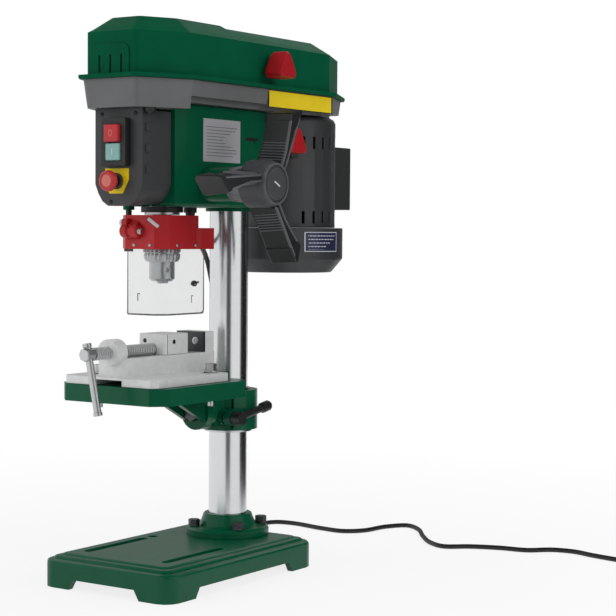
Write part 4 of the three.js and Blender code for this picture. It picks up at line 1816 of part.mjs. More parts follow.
const flangeBolts = flangeBoltPlaces().map(([x, y], i) => piece(`flange_bolt_${i + 1}`,
  hexBolt(x, y, FLANGE_BOTTOM + FLANGE_THICKNESS + FIT, FLANGE_BOLT_RADIUS, FLANGE_BOLT_LENGTH), DARK_STEEL));

machine.add(
  piece('base_plate', basePlate(), GREEN),
  piece('column_flange', columnFlange(), GREEN),
  ...flangeBolts,
  piece('column_tube', upright(ring(COLUMN_RADIUS - COLUMN_WALL, COLUMN_RADIUS, COLUMN_BOTTOM, COLUMN_TOP),
    0, 0), STEEL),
  piece('head_casting', headCasting(), GREEN),
  piece('quill', quill(), STEEL),
  piece('quill_collar', quillCollar(), BLACK),
  piece('quill_bearing', quillBearing(), STEEL),
  piece('spindle', spindle(), STEEL),
  piece('chuck_body', chuckBody(), STEEL),
  piece('chuck_sleeve', chuckSleeve(), STEEL),
  piece('feed_shaft', feedShaft(), STEEL),
  piece('return_spring_cap', springCap(), BLACK),
  piece('depth_collar', depthCollar(), GREY_PAINT),
  piece('handle_hub', handleHub(), DARK_PLASTIC),
  piece('belt_housing', beltHousing(), GREY_PAINT),
  piece('lid', lid(), GREEN),
  piece('lid_knob', lidKnob(), RED),
  piece('spindle_pulley', spindlePulley(), CAST_ALUMINIUM),
  piece('motor_pulley', motorPulley(), CAST_ALUMINIUM),
  piece('v_belt', vBelt(), BLACK),
  piece('motor_housing', motorHousing(), DARK_PLASTIC),
  piece('motor_end_cap', motorEndCap(), DARK_PLASTIC),
  piece('capacitor_box', capacitorBox(), DARK_PLASTIC),
  piece('motor_shaft', motorShaft(), STEEL),
  piece('motor_lock_knob', motorLockKnob(), RED),
  piece('switch_housing', switchHousing(), DARK_PLASTIC),
  piece('switch_bezel', switchBezel(), BLACK),
  piece('stop_button', pushButton(STOP_Z, STOP_PROUD), RED),
  piece('start_button', pushButton(START_Z, START_PROUD), TEAL),
  piece('estop_plunger', estopPlunger(), BLACK),
  piece('estop_head', estopHead(), RED),
  piece('guard_rod', guardRod(), BLACK),
  piece('guard_holder', guardHolder(), RED),
  piece('guard_shield', guardShield(), CLEAR),
  piece('column_bush', columnBush(), STEEL),
  piece('table_bracket', tableBracket(), GREEN),
  piece('clamp_lever', clampLever(), BLACK),
  piece('table', table(), GREEN),
  piece('tilt_bolt', tiltBolt(), DARK_STEEL),
  piece('vise_base', viseBase(), CAST_ALUMINIUM),
  piece('vise_moving_jaw', viseMovingJaw(), CAST_ALUMINIUM),
  piece('fixed_jaw_plate', fixedJawPlate(), DARK_STEEL),
  piece('vise_screw', viseScrew(), STEEL),
  piece('vise_handle_bar', viseHandleBar(), STEEL),
  piece('vise_bolt_1', viseBolt(VISE_EAR_SLOT_X, -VISE_BOLT_REAR), STEEL),
  piece('vise_bolt_2', viseBolt(-VISE_EAR_SLOT_X, -VISE_BOLT_FRONT), STEEL),
  piece('cord_gland', cordGland(), BLACK),
);
for (let k = 0; k < JAWS; k += 1) machine.add(piece(`chuck_jaw_${k + 1}`, chuckJaw(k), STEEL));
for (let k = 0; k < ARMS; k += 1) machine.add(piece(`handle_arm_${k + 1}`, handleArm(k), DARK_PLASTIC));

const drillPress = new THREE.Group();
drillPress.add(
  machine,
  piece('mains_cord', cordTube(), BLACK),
  piece('cord_coil', cordCoil(), BLACK),
  piece('plug', plug(), BLACK),
);

export default drillPress;
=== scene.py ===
"""A benchtop drill press in a plain studio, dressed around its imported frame.

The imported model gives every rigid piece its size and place. This script gives each of them its finish and
soft edges, and adds the small things that sit on them: plates, marks, screws, ribs, threads and the mains
lead. Lengths are in millimetres in the column's own frame: x to the operator's right, y to the rear and z up,
with the column's axis at x 0 and y 0. They become metres in the frame's own place when a piece is made. The
lead and the studio say where theirs differ.
"""

import logging
import math
from dataclasses import dataclass
from enum import Enum
from typing import Dict, List, Mapping, Optional, Sequence, Tuple, Union

import bmesh
import bpy
from mathutils import Matrix, Vector
from mathutils.bvhtree import BVHTree


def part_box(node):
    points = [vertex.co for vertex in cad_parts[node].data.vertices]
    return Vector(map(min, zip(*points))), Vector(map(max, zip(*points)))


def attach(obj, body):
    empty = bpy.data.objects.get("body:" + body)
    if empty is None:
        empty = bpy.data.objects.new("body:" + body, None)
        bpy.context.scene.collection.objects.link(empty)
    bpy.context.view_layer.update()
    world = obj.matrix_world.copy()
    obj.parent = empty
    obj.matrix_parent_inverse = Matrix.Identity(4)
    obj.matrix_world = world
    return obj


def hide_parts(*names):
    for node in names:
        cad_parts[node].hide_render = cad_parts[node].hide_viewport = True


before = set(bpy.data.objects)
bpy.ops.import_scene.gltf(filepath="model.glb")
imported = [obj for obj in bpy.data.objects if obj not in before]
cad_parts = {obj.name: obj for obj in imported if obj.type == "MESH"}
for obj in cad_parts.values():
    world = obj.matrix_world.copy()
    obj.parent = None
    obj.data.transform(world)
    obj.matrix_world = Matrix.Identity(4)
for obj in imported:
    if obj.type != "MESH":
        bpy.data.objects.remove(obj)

LOG = logging.getLogger("drill_press")
MILLIMETRE = 0.001
COLUMN_AXIS = Vector((-23.55, 23.0, 0.0))

Point = Tuple[float, float, float]
Flat = Tuple[float, float]
Outline = Tuple[Flat, ...]
Colour = Tuple[float, float, float, float]

WHITE: Colour = (1.0, 1.0, 1.0, 1.0)
GAMMA = 2.4
GAMMA_OFFSET = 0.055
DARK_SLOPE = 12.92
DARK_END = 0.04045
CHANNEL_TOP = 255


def metres(point: Sequence[float]) -> Vector:
    """A place in the column's frame, in millimetres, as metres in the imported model's frame."""
    return (Vector(point) + COLUMN_AXIS) * MILLIMETRE


def shade(code: int) -> Colour:
    """A colour written as 0xRRGGBB, as the linear light that a shader takes.

    Args:
        code: The display colour, eight bits a channel.

    Returns:
        Red, green, blue and a full alpha.
    """
    parts = [(code >> shift & CHANNEL_TOP) / CHANNEL_TOP for shift in (16, 8, 0)]
    light = [
        part / DARK_SLOPE if part <= DARK_END else ((part + GAMMA_OFFSET) / (1 + GAMMA_OFFSET)) ** GAMMA
        for part in parts
    ]
    return (light[0], light[1], light[2], 1.0)


def placed(name: str, data: bpy.types.ID) -> bpy.types.Object:
    """An object of this data, linked to the scene.

    Args:
        name: The object's name.
        data: Its mesh, curve, light or camera.

    Returns:
        The object.
    """
    made = bpy.data.objects.new(name, data)
    bpy.context.scene.collection.objects.link(made)
    return made


# Shader graphs


class Signal:
    """A number that changes over a surface. Python's operators on it add the Math nodes."""

    def __init__(self, graph: "Graph", socket: bpy.types.NodeSocket) -> None:
        """Wraps a socket of a graph."""
        self.graph = graph
        self.socket = socket

    def _with(self, operation: str, *values: Union[float, "Signal"]) -> "Signal":
        """The result of one Math node on these values."""
        node = self.graph.node("ShaderNodeMath", {"operation": operation}, dict(enumerate(values)))
        return Signal(self.graph, node.outputs[0])

    def __add__(self, other: Union[float, "Signal"]) -> "Signal":
        """The sum."""
        return self._with("ADD", self, other)

    __radd__ = __add__

    def __sub__(self, other: Union[float, "Signal"]) -> "Signal":
        """The difference."""
        return self._with("SUBTRACT", self, other)

    def __rsub__(self, other: Union[float, "Signal"]) -> "Signal":
        """The difference from a value on the left, as in 1 - mask."""
        return self._with("SUBTRACT", other, self)

    def __mul__(self, other: Union[float, "Signal"]) -> "Signal":
        """The product."""
        return self._with("MULTIPLY", self, other)

    __rmul__ = __mul__

    def __truediv__(self, other: Union[float, "Signal"]) -> "Signal":
        """The quotient."""
        return self._with("DIVIDE", self, other)

    def __pow__(self, other: float) -> "Signal":
        """The power."""
        return self._with("POWER", self, other)

    def __gt__(self, other: Union[float, "Signal"]) -> "Signal":
        """One where this is the greater, and otherwise zero."""
        return self._with("GREATER_THAN", self, other)

    def __lt__(self, other: Union[float, "Signal"]) -> "Signal":
        """One where this is the lesser, and otherwise zero."""
        return self._with("LESS_THAN", self, other)

    def __abs__(self) -> "Signal":
        """The size without its sign."""
        return self._with("ABSOLUTE", self)

    def part(self) -> "Signal":
        """What is left over the whole number below."""
        return self._with("FRACT", self)

    def sine(self) -> "Signal":
        """The sine, of radians."""
        return self._with("SINE", self)

    def clamped(self) -> "Signal":
        """This, kept between nought and one."""
        return self._with("MINIMUM", self._with("MAXIMUM", self, 0.0), 1.0)

    def stretched(self, gain: float, less: float) -> "Signal":
        """This, times a gain and less an amount, kept between nought and one."""
        return (self * gain - less).clamped()


Value = Union[float, Sequence[float], Signal, bpy.types.NodeSocket]


class Graph:
    """The shader nodes of one material, world or other owner of a node tree."""

    def __init__(self, tree: bpy.types.NodeTree) -> None:
        """Takes the tree over and empties it."""
        self.tree = tree
        self.tree.nodes.clear()
        self._place: Optional[bpy.types.NodeSocket] = None

    def node(
        self,
        kind: str,
        settings: Optional[Mapping[str, object]] = None,
        sockets: Optional[Mapping[object, Value]] = None,
    ) -> bpy.types.Node:
        """Adds one node.

        Args:
            kind: The node's Blender type.
            settings: Its properties, set first. A ramp's colours are given under "stops".
            sockets: A value or a link for each of its inputs, by name or by number.

        Returns:
            The node.
        """
        node = self.tree.nodes.new(kind)
        for name, value in (settings or {}).items():
            if name == "stops":
                self._stops(node.color_ramp, value)
            else:
                setattr(node, name, value)
        for key, value in (sockets or {}).items():
            source = value.socket if isinstance(value, Signal) else value
            if isinstance(source, bpy.types.NodeSocket):
                self.tree.links.new(source, node.inputs[key])
            else:
                node.inputs[key].default_value = source
        return node

    @staticmethod
    def _stops(ramp: bpy.types.ColorRamp, stops: Sequence[Tuple[float, Colour]]) -> None:
        """Gives a ramp its colours.

        Args:
            ramp: The ramp.
            stops: The place and colour of each stop, in order.
        """
        while len(ramp.elements) < len(stops):
            ramp.elements.new(1.0)
        for element, (place, colour) in zip(ramp.elements, stops):
            element.position, element.color = place, colour

    def place(self) -> bpy.types.NodeSocket:
        """The point on the object, in millimetres.

        Returns:
            Its socket, made once for each graph.
        """
        if self._place is None:
            source = self.node("ShaderNodeTexCoord").outputs["Object"]
            sockets = {0: source, "Scale": 1 / MILLIMETRE}
            self._place = self.node("ShaderNodeVectorMath", {"operation": "SCALE"}, sockets).outputs[0]
        return self._place

    def axis(self, number: int) -> Signal:
        """One coordinate of the point, in millimetres in the column's frame."""
        parts = self.node("ShaderNodeSeparateXYZ", sockets={0: self.place()})
        return Signal(self, parts.outputs[number]) - COLUMN_AXIS[number]

    def facing(self, number: int) -> Signal:
        """One coordinate of the surface's own normal."""
        normal = self.node("ShaderNodeTexCoord").outputs["Normal"]
        return Signal(self, self.node("ShaderNodeSeparateXYZ", sockets={0: normal}).outputs[number])

    def noise(self, size: float, detail: float = 2.0, stretch: Point = (1.0, 1.0, 1.0)) -> Signal:
        """Soft noise between nought and one.

        Args:
            size: The width of its spots in millimetres.
            detail: How many finer layers it has.
            stretch: How much longer the spots are along each axis.

        Returns:
            The noise.
        """
        scale = tuple(1 / (size * part) for part in stretch)
        where = self.node("ShaderNodeVectorMath", {"operation": "MULTIPLY"}, {0: self.place(), 1: scale})
        sockets = {"Vector": where.outputs[0], "Scale": 1.0, "Detail": detail}
        return Signal(self, self.node("ShaderNodeTexNoise", sockets=sockets).outputs["Fac"])

    def mixed(self, share: Value, first: Value, second: Value) -> bpy.types.NodeSocket:
        """A colour between two others."""
        node = self.node("ShaderNodeMix", {"data_type": "RGBA"}, {0: share, 6: first, 7: second})
        return node.outputs[2]

    def bump(self, height: Signal, depth: float) -> bpy.types.NodeSocket:
        """A normal that follows a height.

        Args:
            height: The height, from nought to one.
            depth: What one stands for, in millimetres.

        Returns:
            The normal.
        """
        sockets = {"Height": height, "Distance": depth * MILLIMETRE}
        return self.node("ShaderNodeBump", sockets=sockets).outputs[0]

    def close(self, shader: bpy.types.Node, kind: str = "ShaderNodeOutputMaterial") -> None:
        """Ends the tree in a shader."""
        self.node(kind, sockets={"Surface": shader.outputs[0]})


# Finishes


@dataclass(frozen=True)
class Finish:
    """How a surface looks. Each kind says in paint what its shader's sockets hold."""

    name: str
    colour: int
    roughness: float

    def paint(self, graph: Graph) -> Dict[str, Value]:
        """The Principled shader's sockets.

        Args:
            graph: The material's graph, which the nodes go into.

        Returns:
            A value or a link for each socket that the finish sets.
        """
        return {"Base Color": shade(self.colour), "Roughness": self.roughness}

    def material(self) -> bpy.types.Material:
        """The finish's material, made once.

        Returns:
            The material.
        """
        title = f"{self.name}_look"
        found = bpy.data.materials.get(title)
        if found:
            return found
        made = bpy.data.materials.new(title)
        made.use_nodes = True
        graph = Graph(made.node_tree)
        graph.close(graph.node("ShaderNodeBsdfPrincipled", sockets=self.paint(graph)))
        return made

    def tinted(self, graph: Graph, share: Value, darker: float) -> bpy.types.NodeSocket:
        """The finish's colour, darkened where share is one."""
        colour = shade(self.colour)
        return graph.mixed(share, colour, tuple(part * darker for part in colour[:3]) + (1.0,))


@dataclass(frozen=True)
class Enamel(Finish):
    """Glossy paint over cast metal: an even colour over a slightly wavy, grainy skin."""

    grain: float = 2.4
    depth: float = 0.05
    gloss: float = 0.5
    shine: float = 0.1
    wave_width: float = 34.0
    wave_contrast: Flat = (1.5, 0.35)
    wave_shade: float = 0.82
    pit_width_share: float = 3.1
    peel_height: float = 0.5
    peel_roughness: float = 0.12
    coat_roughness: float = 0.1

    def paint(self, graph: Graph) -> Dict[str, Value]:
        """Paint with soft waves, fine orange peel and a clear top.

        Args:
            graph: The material's graph.

        Returns:
            The Principled shader's sockets.
        """
        waves = graph.noise(self.wave_width, detail=1.0)
        peel = graph.noise(self.grain, detail=3.0)
        pits = graph.noise(self.grain * self.pit_width_share)
        height = peel * self.peel_height + pits
        return {
            "Base Color": self.tinted(graph, waves.stretched(*self.wave_contrast), self.wave_shade),
            "Roughness": peel * self.peel_roughness + self.roughness,
            "Coat Weight": self.gloss,
            "Coat Roughness": self.coat_roughness,
            "Specular IOR Level": self.shine,
            "Normal": graph.bump(height, self.depth),
        }


@dataclass(frozen=True)
class Moulded(Finish):
    """Moulded plastic with the fine spark eroded grain of its mould."""

    grain: float = 0.7
    depth: float = 0.03
    shine: float = 0.5
    mark_width: float = 26.0
    mark_contrast: Flat = (1.6, 0.4)
    mark_shade: float = 0.88
    mark_roughness: float = 0.16
    grain_roughness: float = 0.08

    def paint(self, graph: Graph) -> Dict[str, Value]:
        """An even colour with fine grain and faint handling marks.

        Args:
            graph: The material's graph.

        Returns:
            The Principled shader's sockets.
        """
        grain = graph.noise(self.grain)
        marks = graph.noise(self.mark_width)
        return {
            "Base Color": self.tinted(graph, marks.stretched(*self.mark_contrast), self.mark_shade),
            "Roughness": marks * self.mark_roughness + grain * self.grain_roughness + self.roughness,
            "Specular IOR Level": self.shine,
            "Normal": graph.bump(grain, self.depth),
        }


class Lay(Enum):
    """The way that a metal's fine scratches run, as how long they are along each axis."""

    ROUND_Z = (30.0, 30.0, 0.3)
    ALONG_X = (40.0, 0.5, 0.5)
    ROUND_X = (0.3, 30.0, 30.0)
    ROUND_Y = (30.0, 0.3, 30.0)
    ALONG_Z = (0.8, 0.8, 90.0)
    EVERY_WAY = (1.0, 1.0, 1.0)


@dataclass(frozen=True)
class BareMetal(Finish):
    """Ground or turned metal with fine scratches along its lay."""

    lay: Lay = Lay.ROUND_Z
    depth: float = 0.006
    scratch: float = 0.10
    scratch_width: float = 0.3
    patch_width: float = 7.0
    patch_share: float = 0.5
    patch_less: float = 0.1
    patch_shade: float = 0.9

    def paint(self, graph: Graph) -> Dict[str, Value]:
        """Bright metal whose roughness and height follow the scratches.

        Args:
            graph: The material's graph.

        Returns:
            The Principled shader's sockets.
        """
        fine = graph.noise(self.scratch_width, 3.0, self.lay.value)
        broad = graph.noise(self.patch_width)
        share = self.patch_share
        spots = (fine * (1 - share) + broad * share - self.patch_less).clamped()
        return {
            "Base Color": self.tinted(graph, spots, self.patch_shade),
            "Metallic": 1.0,
            "Roughness": fine * self.scratch + broad * self.scratch * share + self.roughness,
            "Normal": graph.bump(fine, self.depth),
        }


@dataclass(frozen=True)
class ThreadCore(BareMetal):
    """A screw whose core is painted dark between its threads, as painted shade."""

    start: float = -247.0
    core_shade: float = 0.22

    def paint(self, graph: Graph) -> Dict[str, Value]:
        """Bright metal at the head, and painted shade along the threaded length.

        Args:
            graph: The material's graph.

        Returns:
            The Principled shader's sockets.
        """
        sockets = super().paint(graph)
        # Painted shade: the threaded length is darkened for the shade between the thread's ridges.
        threaded = graph.axis(1) > self.start
        sockets["Base Color"] = self.tinted(graph, threaded, self.core_shade)
        return sockets


@dataclass(frozen=True)
class CastMetal(Finish):
    """Light cast metal: sandy on the sides, and cut smooth where it faces up."""

    grain: float = 1.1
    depth: float = 0.12
    metallic: float = 0.25
    mottle_width: float = 7.0
    line_width: float = 0.6
    line_height: float = 0.12
    top_facing: float = 0.9
    top_paler: float = 0.6
    top_smoother: float = 0.12
    sand_share: float = 0.5
    mottle_share: float = 0.7
    spot_less: float = 0.15
    spot_shade: float = 0.74
    sand_roughness: float = 0.16

    def paint(self, graph: Graph) -> Dict[str, Value]:
        """Sandy metal with smooth milled tops.

        Args:
            graph: The material's graph.

        Returns:
            The Principled shader's sockets.
        """
        sand = graph.noise(self.grain, detail=4.0)
        mottle = graph.noise(self.mottle_width, detail=3.0)
        lines = graph.noise(self.line_width, stretch=Lay.ALONG_X.value)
        milled = graph.facing(2) > self.top_facing
        height = sand * (1 - milled) + lines * milled * self.line_height
        spots = (sand * self.sand_share + mottle * self.mottle_share - self.spot_less).clamped()
        return {
            "Base Color": self.tinted(graph, spots * (1 - milled * self.top_paler), self.spot_shade),
            "Metallic": self.metallic,
            "Roughness": sand * self.sand_roughness - milled * self.top_smoother + self.roughness,
            "Normal": graph.bump(height, self.depth),
        }


@dataclass(frozen=True)
class ClearSheet(Finish):
    """Thin clear plastic, a little greyer at its cut edges."""

    alpha: float = 0.14
    shine: float = 0.6
    edge_facing: float = 0.5
    edge_alpha: float = 0.5
    haze_width: float = 18.0
    haze_alpha: float = 0.04
    haze_roughness: float = 0.05

    def paint(self, graph: Graph) -> Dict[str, Value]:
        """A thin sheet that shows mostly by its shine and its rims.

        Args:
            graph: The material's graph.

        Returns:
            The Principled shader's sockets.
        """
        edge = (1 - abs(graph.facing(2))) < self.edge_facing
        haze = graph.noise(self.haze_width)
        return {
            "Base Color": shade(self.colour),
            "Roughness": haze * self.haze_roughness + self.roughness,
            "Alpha": (edge * self.edge_alpha + haze * self.haze_alpha + self.alpha).clamped(),
            "Specular IOR Level": self.shine,
        }


@dataclass(frozen=True)
class Rubber(Finish):
    """Matt rubber with a dull bloom."""

    grain: float = 0.6
    depth: float = 0.02
    bloom_width: float = 5.0
    bloom_shade: float = 0.7
    bloom_roughness: float = 0.12

    def paint(self, graph: Graph) -> Dict[str, Value]:
        """Near black, with faint dust and a soft sheen.

        Args:
            graph: The material's graph.

        Returns:
            The Principled shader's sockets.
        """
        bloom = graph.noise(self.bloom_width, detail=3.0)
        fine = graph.noise(self.grain)
        return {
            "Base Color": self.tinted(graph, bloom, self.bloom_shade),
            "Roughness": bloom * self.bloom_roughness + self.roughness,
            "Normal": graph.bump(fine, self.depth),
        }


@dataclass(frozen=True)
class Ruled(Finish):
    """A plate with plain printed rules, and a border where it has a width.

    The rules run along y and stand one above the other along z.
    """

    ink: int = 0x303030
    low: Flat = (0.0, 0.0)
    high: Flat = (1.0, 1.0)
    pitch: float = 3.0
    border: float = 0.0
    rule_shares: Flat = (0.62, 0.86)
    left_share: float = 0.08
    bottom_share: float = 0.1
    top_share: float = 0.12
    reach_share: float = 0.72
    reach_spread_share: float = 0.2
    reach_turn: float = 7.13
    gap_turns: Point = (0.9, 3.7, 2.3)
    gap_level: float = -0.35
    ink_share: float = 0.9
    mottle_width: float = 3.0
    mottle_roughness: float = 0.1

    def paint(self, graph: Graph) -> Dict[str, Value]:
        """Rules of uneven length with gaps in them, and a line round the edge where it has a width.

        Args:
            graph: The material's graph.

        Returns:
            The Principled shader's sockets.
        """
        across, up = graph.axis(1), graph.axis(2)
        width, height = self.high[0] - self.low[0], self.high[1] - self.low[1]
        row = up / self.pitch
        thin, thick = self.rule_shares
        line = (row.part() > thin) * (row.part() < thick)
        number = row - row.part()
        reach = ((number * self.reach_turn).sine() * self.reach_spread_share + self.reach_share) * width
        inside = (across > self.low[0] + self.left_share * width) * (across < reach + self.low[0])
        bottom, top = self.low[1] + self.bottom_share * height, self.high[1] - self.top_share * height
        body = (up > bottom) * (up < top)
        slow, shift, fast = self.gap_turns
        broken = (across * slow + number * shift).sine() * (across * fast).sine() > self.gap_level
        ink = line * inside * body * broken
        if self.border:
            near_side = abs(across - (self.low[0] + self.high[0]) / 2) > width / 2 - self.border
            near_end = abs(up - (self.low[1] + self.high[1]) / 2) > height / 2 - self.border
            ink = (ink + near_side + near_end).clamped()
        return {
            "Base Color": graph.mixed(ink * self.ink_share, shade(self.colour), shade(self.ink)),
            "Roughness": graph.noise(self.mottle_width) * self.mottle_roughness + self.roughness,
        }


GREEN_CAST = Enamel("green_enamel_cast", 0x03593C, 0.28, grain=1.9, depth=0.16, gloss=0.16, shine=0.14)
GREEN_FINE = Enamel("green_enamel_fine", 0x02573A, 0.34, grain=2.6, depth=0.07, gloss=0.04, shine=0.08)
GREEN_COVER = Enamel("green_cover", 0x02583B, 0.44, grain=0.9, depth=0.03, gloss=0.0, shine=0.05)
GREY_PAINT = Moulded("grey_housing", 0x6A6B6C, 0.42, grain=0.8, depth=0.03)
GREY_METAL = Moulded("grey_collar", 0x77797B, 0.40, grain=0.6, depth=0.02)
DARK_BOX = Moulded("dark_switch_box", 0x3B3C3E, 0.44, grain=0.7, depth=0.035)
DARK_HANDLE = Moulded("dark_handle", 0x1E1F20, 0.32, grain=0.8, depth=0.03)
# Lighter than the dark handle: a painted reflection on the hub's face.
HUB_REFLECTION_PAINT = Moulded("hub_painted_reflection", 0x46474A, 0.34, grain=0.8, depth=0.02)
# Lighter than the dark handle: a painted highlight on the arms' rims, the comb's teeth and the cap's raised
# rings.
HANDLE_RIM_HIGHLIGHT = Moulded("handle_rim_highlight", 0x5C5E61, 0.26, grain=0.8, depth=0.02)
MOTOR_PAINT = Moulded("motor_paint", 0x37383A, 0.34, grain=1.4, depth=0.05)
CAPACITOR_CASE = Moulded("capacitor_case", 0x343536, 0.44, grain=0.7, depth=0.03)
BLACK_PLASTIC = Moulded("black_plastic", 0x1B1C1D, 0.42, grain=0.6, depth=0.02)
BLACK_STEEL = Moulded("black_steel", 0x1E1F20, 0.36, grain=0.5, depth=0.02)
RED_PLASTIC = Moulded("red_plastic", 0xB8141E, 0.30, grain=0.9, depth=0.025, shine=0.45)
RED_KNOB = Moulded("red_knob", 0xAE101C, 0.30, grain=0.9, depth=0.02, shine=0.3)
STOP_RED = Moulded("stop_red", 0xC22B30, 0.28, grain=0.5, depth=0.01)
# Pale red: the stop button's printed ring, and a painted highlight on the stop head's face.
STOP_MARK_AND_HIGHLIGHT = Moulded("stop_mark_and_highlight", 0xD9786C, 0.30, grain=0.5, depth=0.01)
START_TEAL = Moulded("start_teal", 0x8FC0BB, 0.28, grain=0.5, depth=0.01)
PALE_INK = Moulded("pale_ink", 0xD9DBDC, 0.45, grain=0.5, depth=0.005)
YELLOW_PLATE = Moulded("yellow_plate", 0xF2D400, 0.40, grain=0.5, depth=0.01)
BLACK_INK = Moulded("black_ink", 0x151515, 0.5, grain=0.5, depth=0.005)
COLUMN_STEEL = BareMetal("column_steel", 0xDADCDE, 0.17, lay=Lay.ALONG_Z, depth=0.0008, scratch=0.06)
TURNED_STEEL = BareMetal("turned_steel", 0xC9CBCD, 0.24, lay=Lay.ROUND_Z, depth=0.010)
CROSS_STEEL = BareMetal("cross_steel", 0xC9CBCD, 0.25, lay=Lay.ROUND_X, depth=0.010)
THREAD_STEEL = CastMetal("thread_steel", 0xDCDDDE, 0.34, grain=0.8, depth=0.02)
# Its threaded length is painted dark, as painted shade between the ridges.
SCREW_CORE = ThreadCore("screw_core", 0xC6C8C9, 0.32, lay=Lay.ROUND_Y, depth=0.010)
ZINC_STEEL = BareMetal("zinc_steel", 0xC2C4C4, 0.30, lay=Lay.EVERY_WAY, depth=0.012)
DARK_STEEL = BareMetal("dark_steel", 0x5A5B5D, 0.38, lay=Lay.EVERY_WAY, depth=0.02)
PULLEY_ALLOY = BareMetal("pulley_alloy", 0xC6C8CA, 0.32, lay=Lay.ROUND_Z, depth=0.014)
VISE_ALLOY = CastMetal("vise_alloy", 0xF0F1F1, 0.42, grain=1.0, depth=0.10)
CLEAR_GUARD = ClearSheet("clear_guard", 0x9BA1A4, 0.06)
GUARD_EDGE = ClearSheet("guard_edge", 0x33383B, 0.12, alpha=0.62)
CORD_RUBBER = Rubber("cord_rubber", 0x17181A, 0.48)
BELT_RUBBER = Rubber("belt_rubber", 0x202122, 0.62)


# Solid shapes


class Axis(Enum):
    """The direction that a prism or a turned shape runs along, as the places of its three coordinates."""

    X = (1, 2, 0)
    Y = (0, 2, 1)
    Z = (0, 1, 2)

    def point(self, first: float, second: float, along: float) -> Point:
        """The point with these two coordinates across the axis and this one along it.

        Args:
            first: The first coordinate across.
            second: The second coordinate across.
            along: The coordinate along.

        Returns:
            The point.
        """
        spots = [0.0, 0.0, 0.0]
        for place, value in zip(self.value, (first, second, along)):
            spots[place] = value
        return (spots[0], spots[1], spots[2])


def rectangle(low: Flat, high: Flat) -> List[Flat]:
    """The corners of a rectangle, from its lowest and its highest one."""
    return [low, (high[0], low[1]), high, (low[0], high[1])]


def on_side(x: float, low: Flat, high: Flat) -> List[Point]:
    """The corners of a rectangle that faces along x, from its lowest and highest y and z."""
    return [(x, y, z) for y, z in rectangle(low, high)]


def moved(outline: Sequence[Flat], first: float, second: float) -> List[Flat]:
    """An outline moved by one length for each coordinate."""
    return [(first + a, second + b) for a, b in outline]


def circle(radius: float, sides: int, centre: Flat = (0.0, 0.0)) -> List[Flat]:
    """A regular outline.

    Args:
        radius: Its corners' distance from the centre.
        sides: How many corners it has.
        centre: Its middle.

    Returns:
        Its corners in order.
    """
    angles = [2 * math.pi * k / sides for k in range(sides)]
    return [(centre[0] + radius * math.cos(a), centre[1] + radius * math.sin(a)) for a in angles]


LEAST_KNOT = 1e-6


def smooth_path(points: Sequence[Point], steps: int) -> List[Vector]:
    """A smooth line through points, as a centripetal Catmull-Rom curve.

    Args:
        points: The points that it passes.
        steps: How many parts each stretch has.

    Returns:
        The line's points.
    """
    spots = [Vector(point) for point in points]
    spots = [spots[0] * 2 - spots[1], *spots, spots[-1] * 2 - spots[-2]]
    line: List[Vector] = []
    for before, first, second, after in zip(spots, spots[1:], spots[2:], spots[3:]):
        knots = [0.0]
        for near, far in ((before, first), (first, second), (second, after)):
            knots.append(knots[-1] + max(math.sqrt((far - near).length), LEAST_KNOT))
        for step in range(steps):
            line.append(_on_stretch((before, first, second, after), knots, step / steps))
    line.append(spots[-2])
    return line


def _on_stretch(spots: Sequence[Vector], knots: Sequence[float], share: float) -> Vector:
    """The point at a share of the middle stretch of four points.

    Args:
        spots: The four points.
        knots: Where each of them lies along the curve.
        share: How far along the middle stretch the point is, from nought to one.

    Returns:
        The point.
    """
    at = knots[1] + (knots[2] - knots[1]) * share
    level = list(spots)
    for reach in (1, 2, 3):
        level = [
            level[i].lerp(level[i + 1], (at - low) / (high - low))
            for i, (low, high) in enumerate(_spans(knots, reach))
        ]
    return level[0]


def _spans(knots: Sequence[float], reach: int) -> List[Flat]:
    """The knots that each blend of the pyramid runs between.

    Args:
        knots: The four knots.
        reach: The pyramid's level, from one to three.

    Returns:
        The first and last knot of each blend.
    """
    if reach == 1:
        return [(knots[0], knots[1]), (knots[1], knots[2]), (knots[2], knots[3])]
    if reach == 2:
        return [(knots[0], knots[2]), (knots[1], knots[3])]
    return [(knots[1], knots[2])]


LEAST_RADIUS = 0.01
UPRIGHT = 0.9


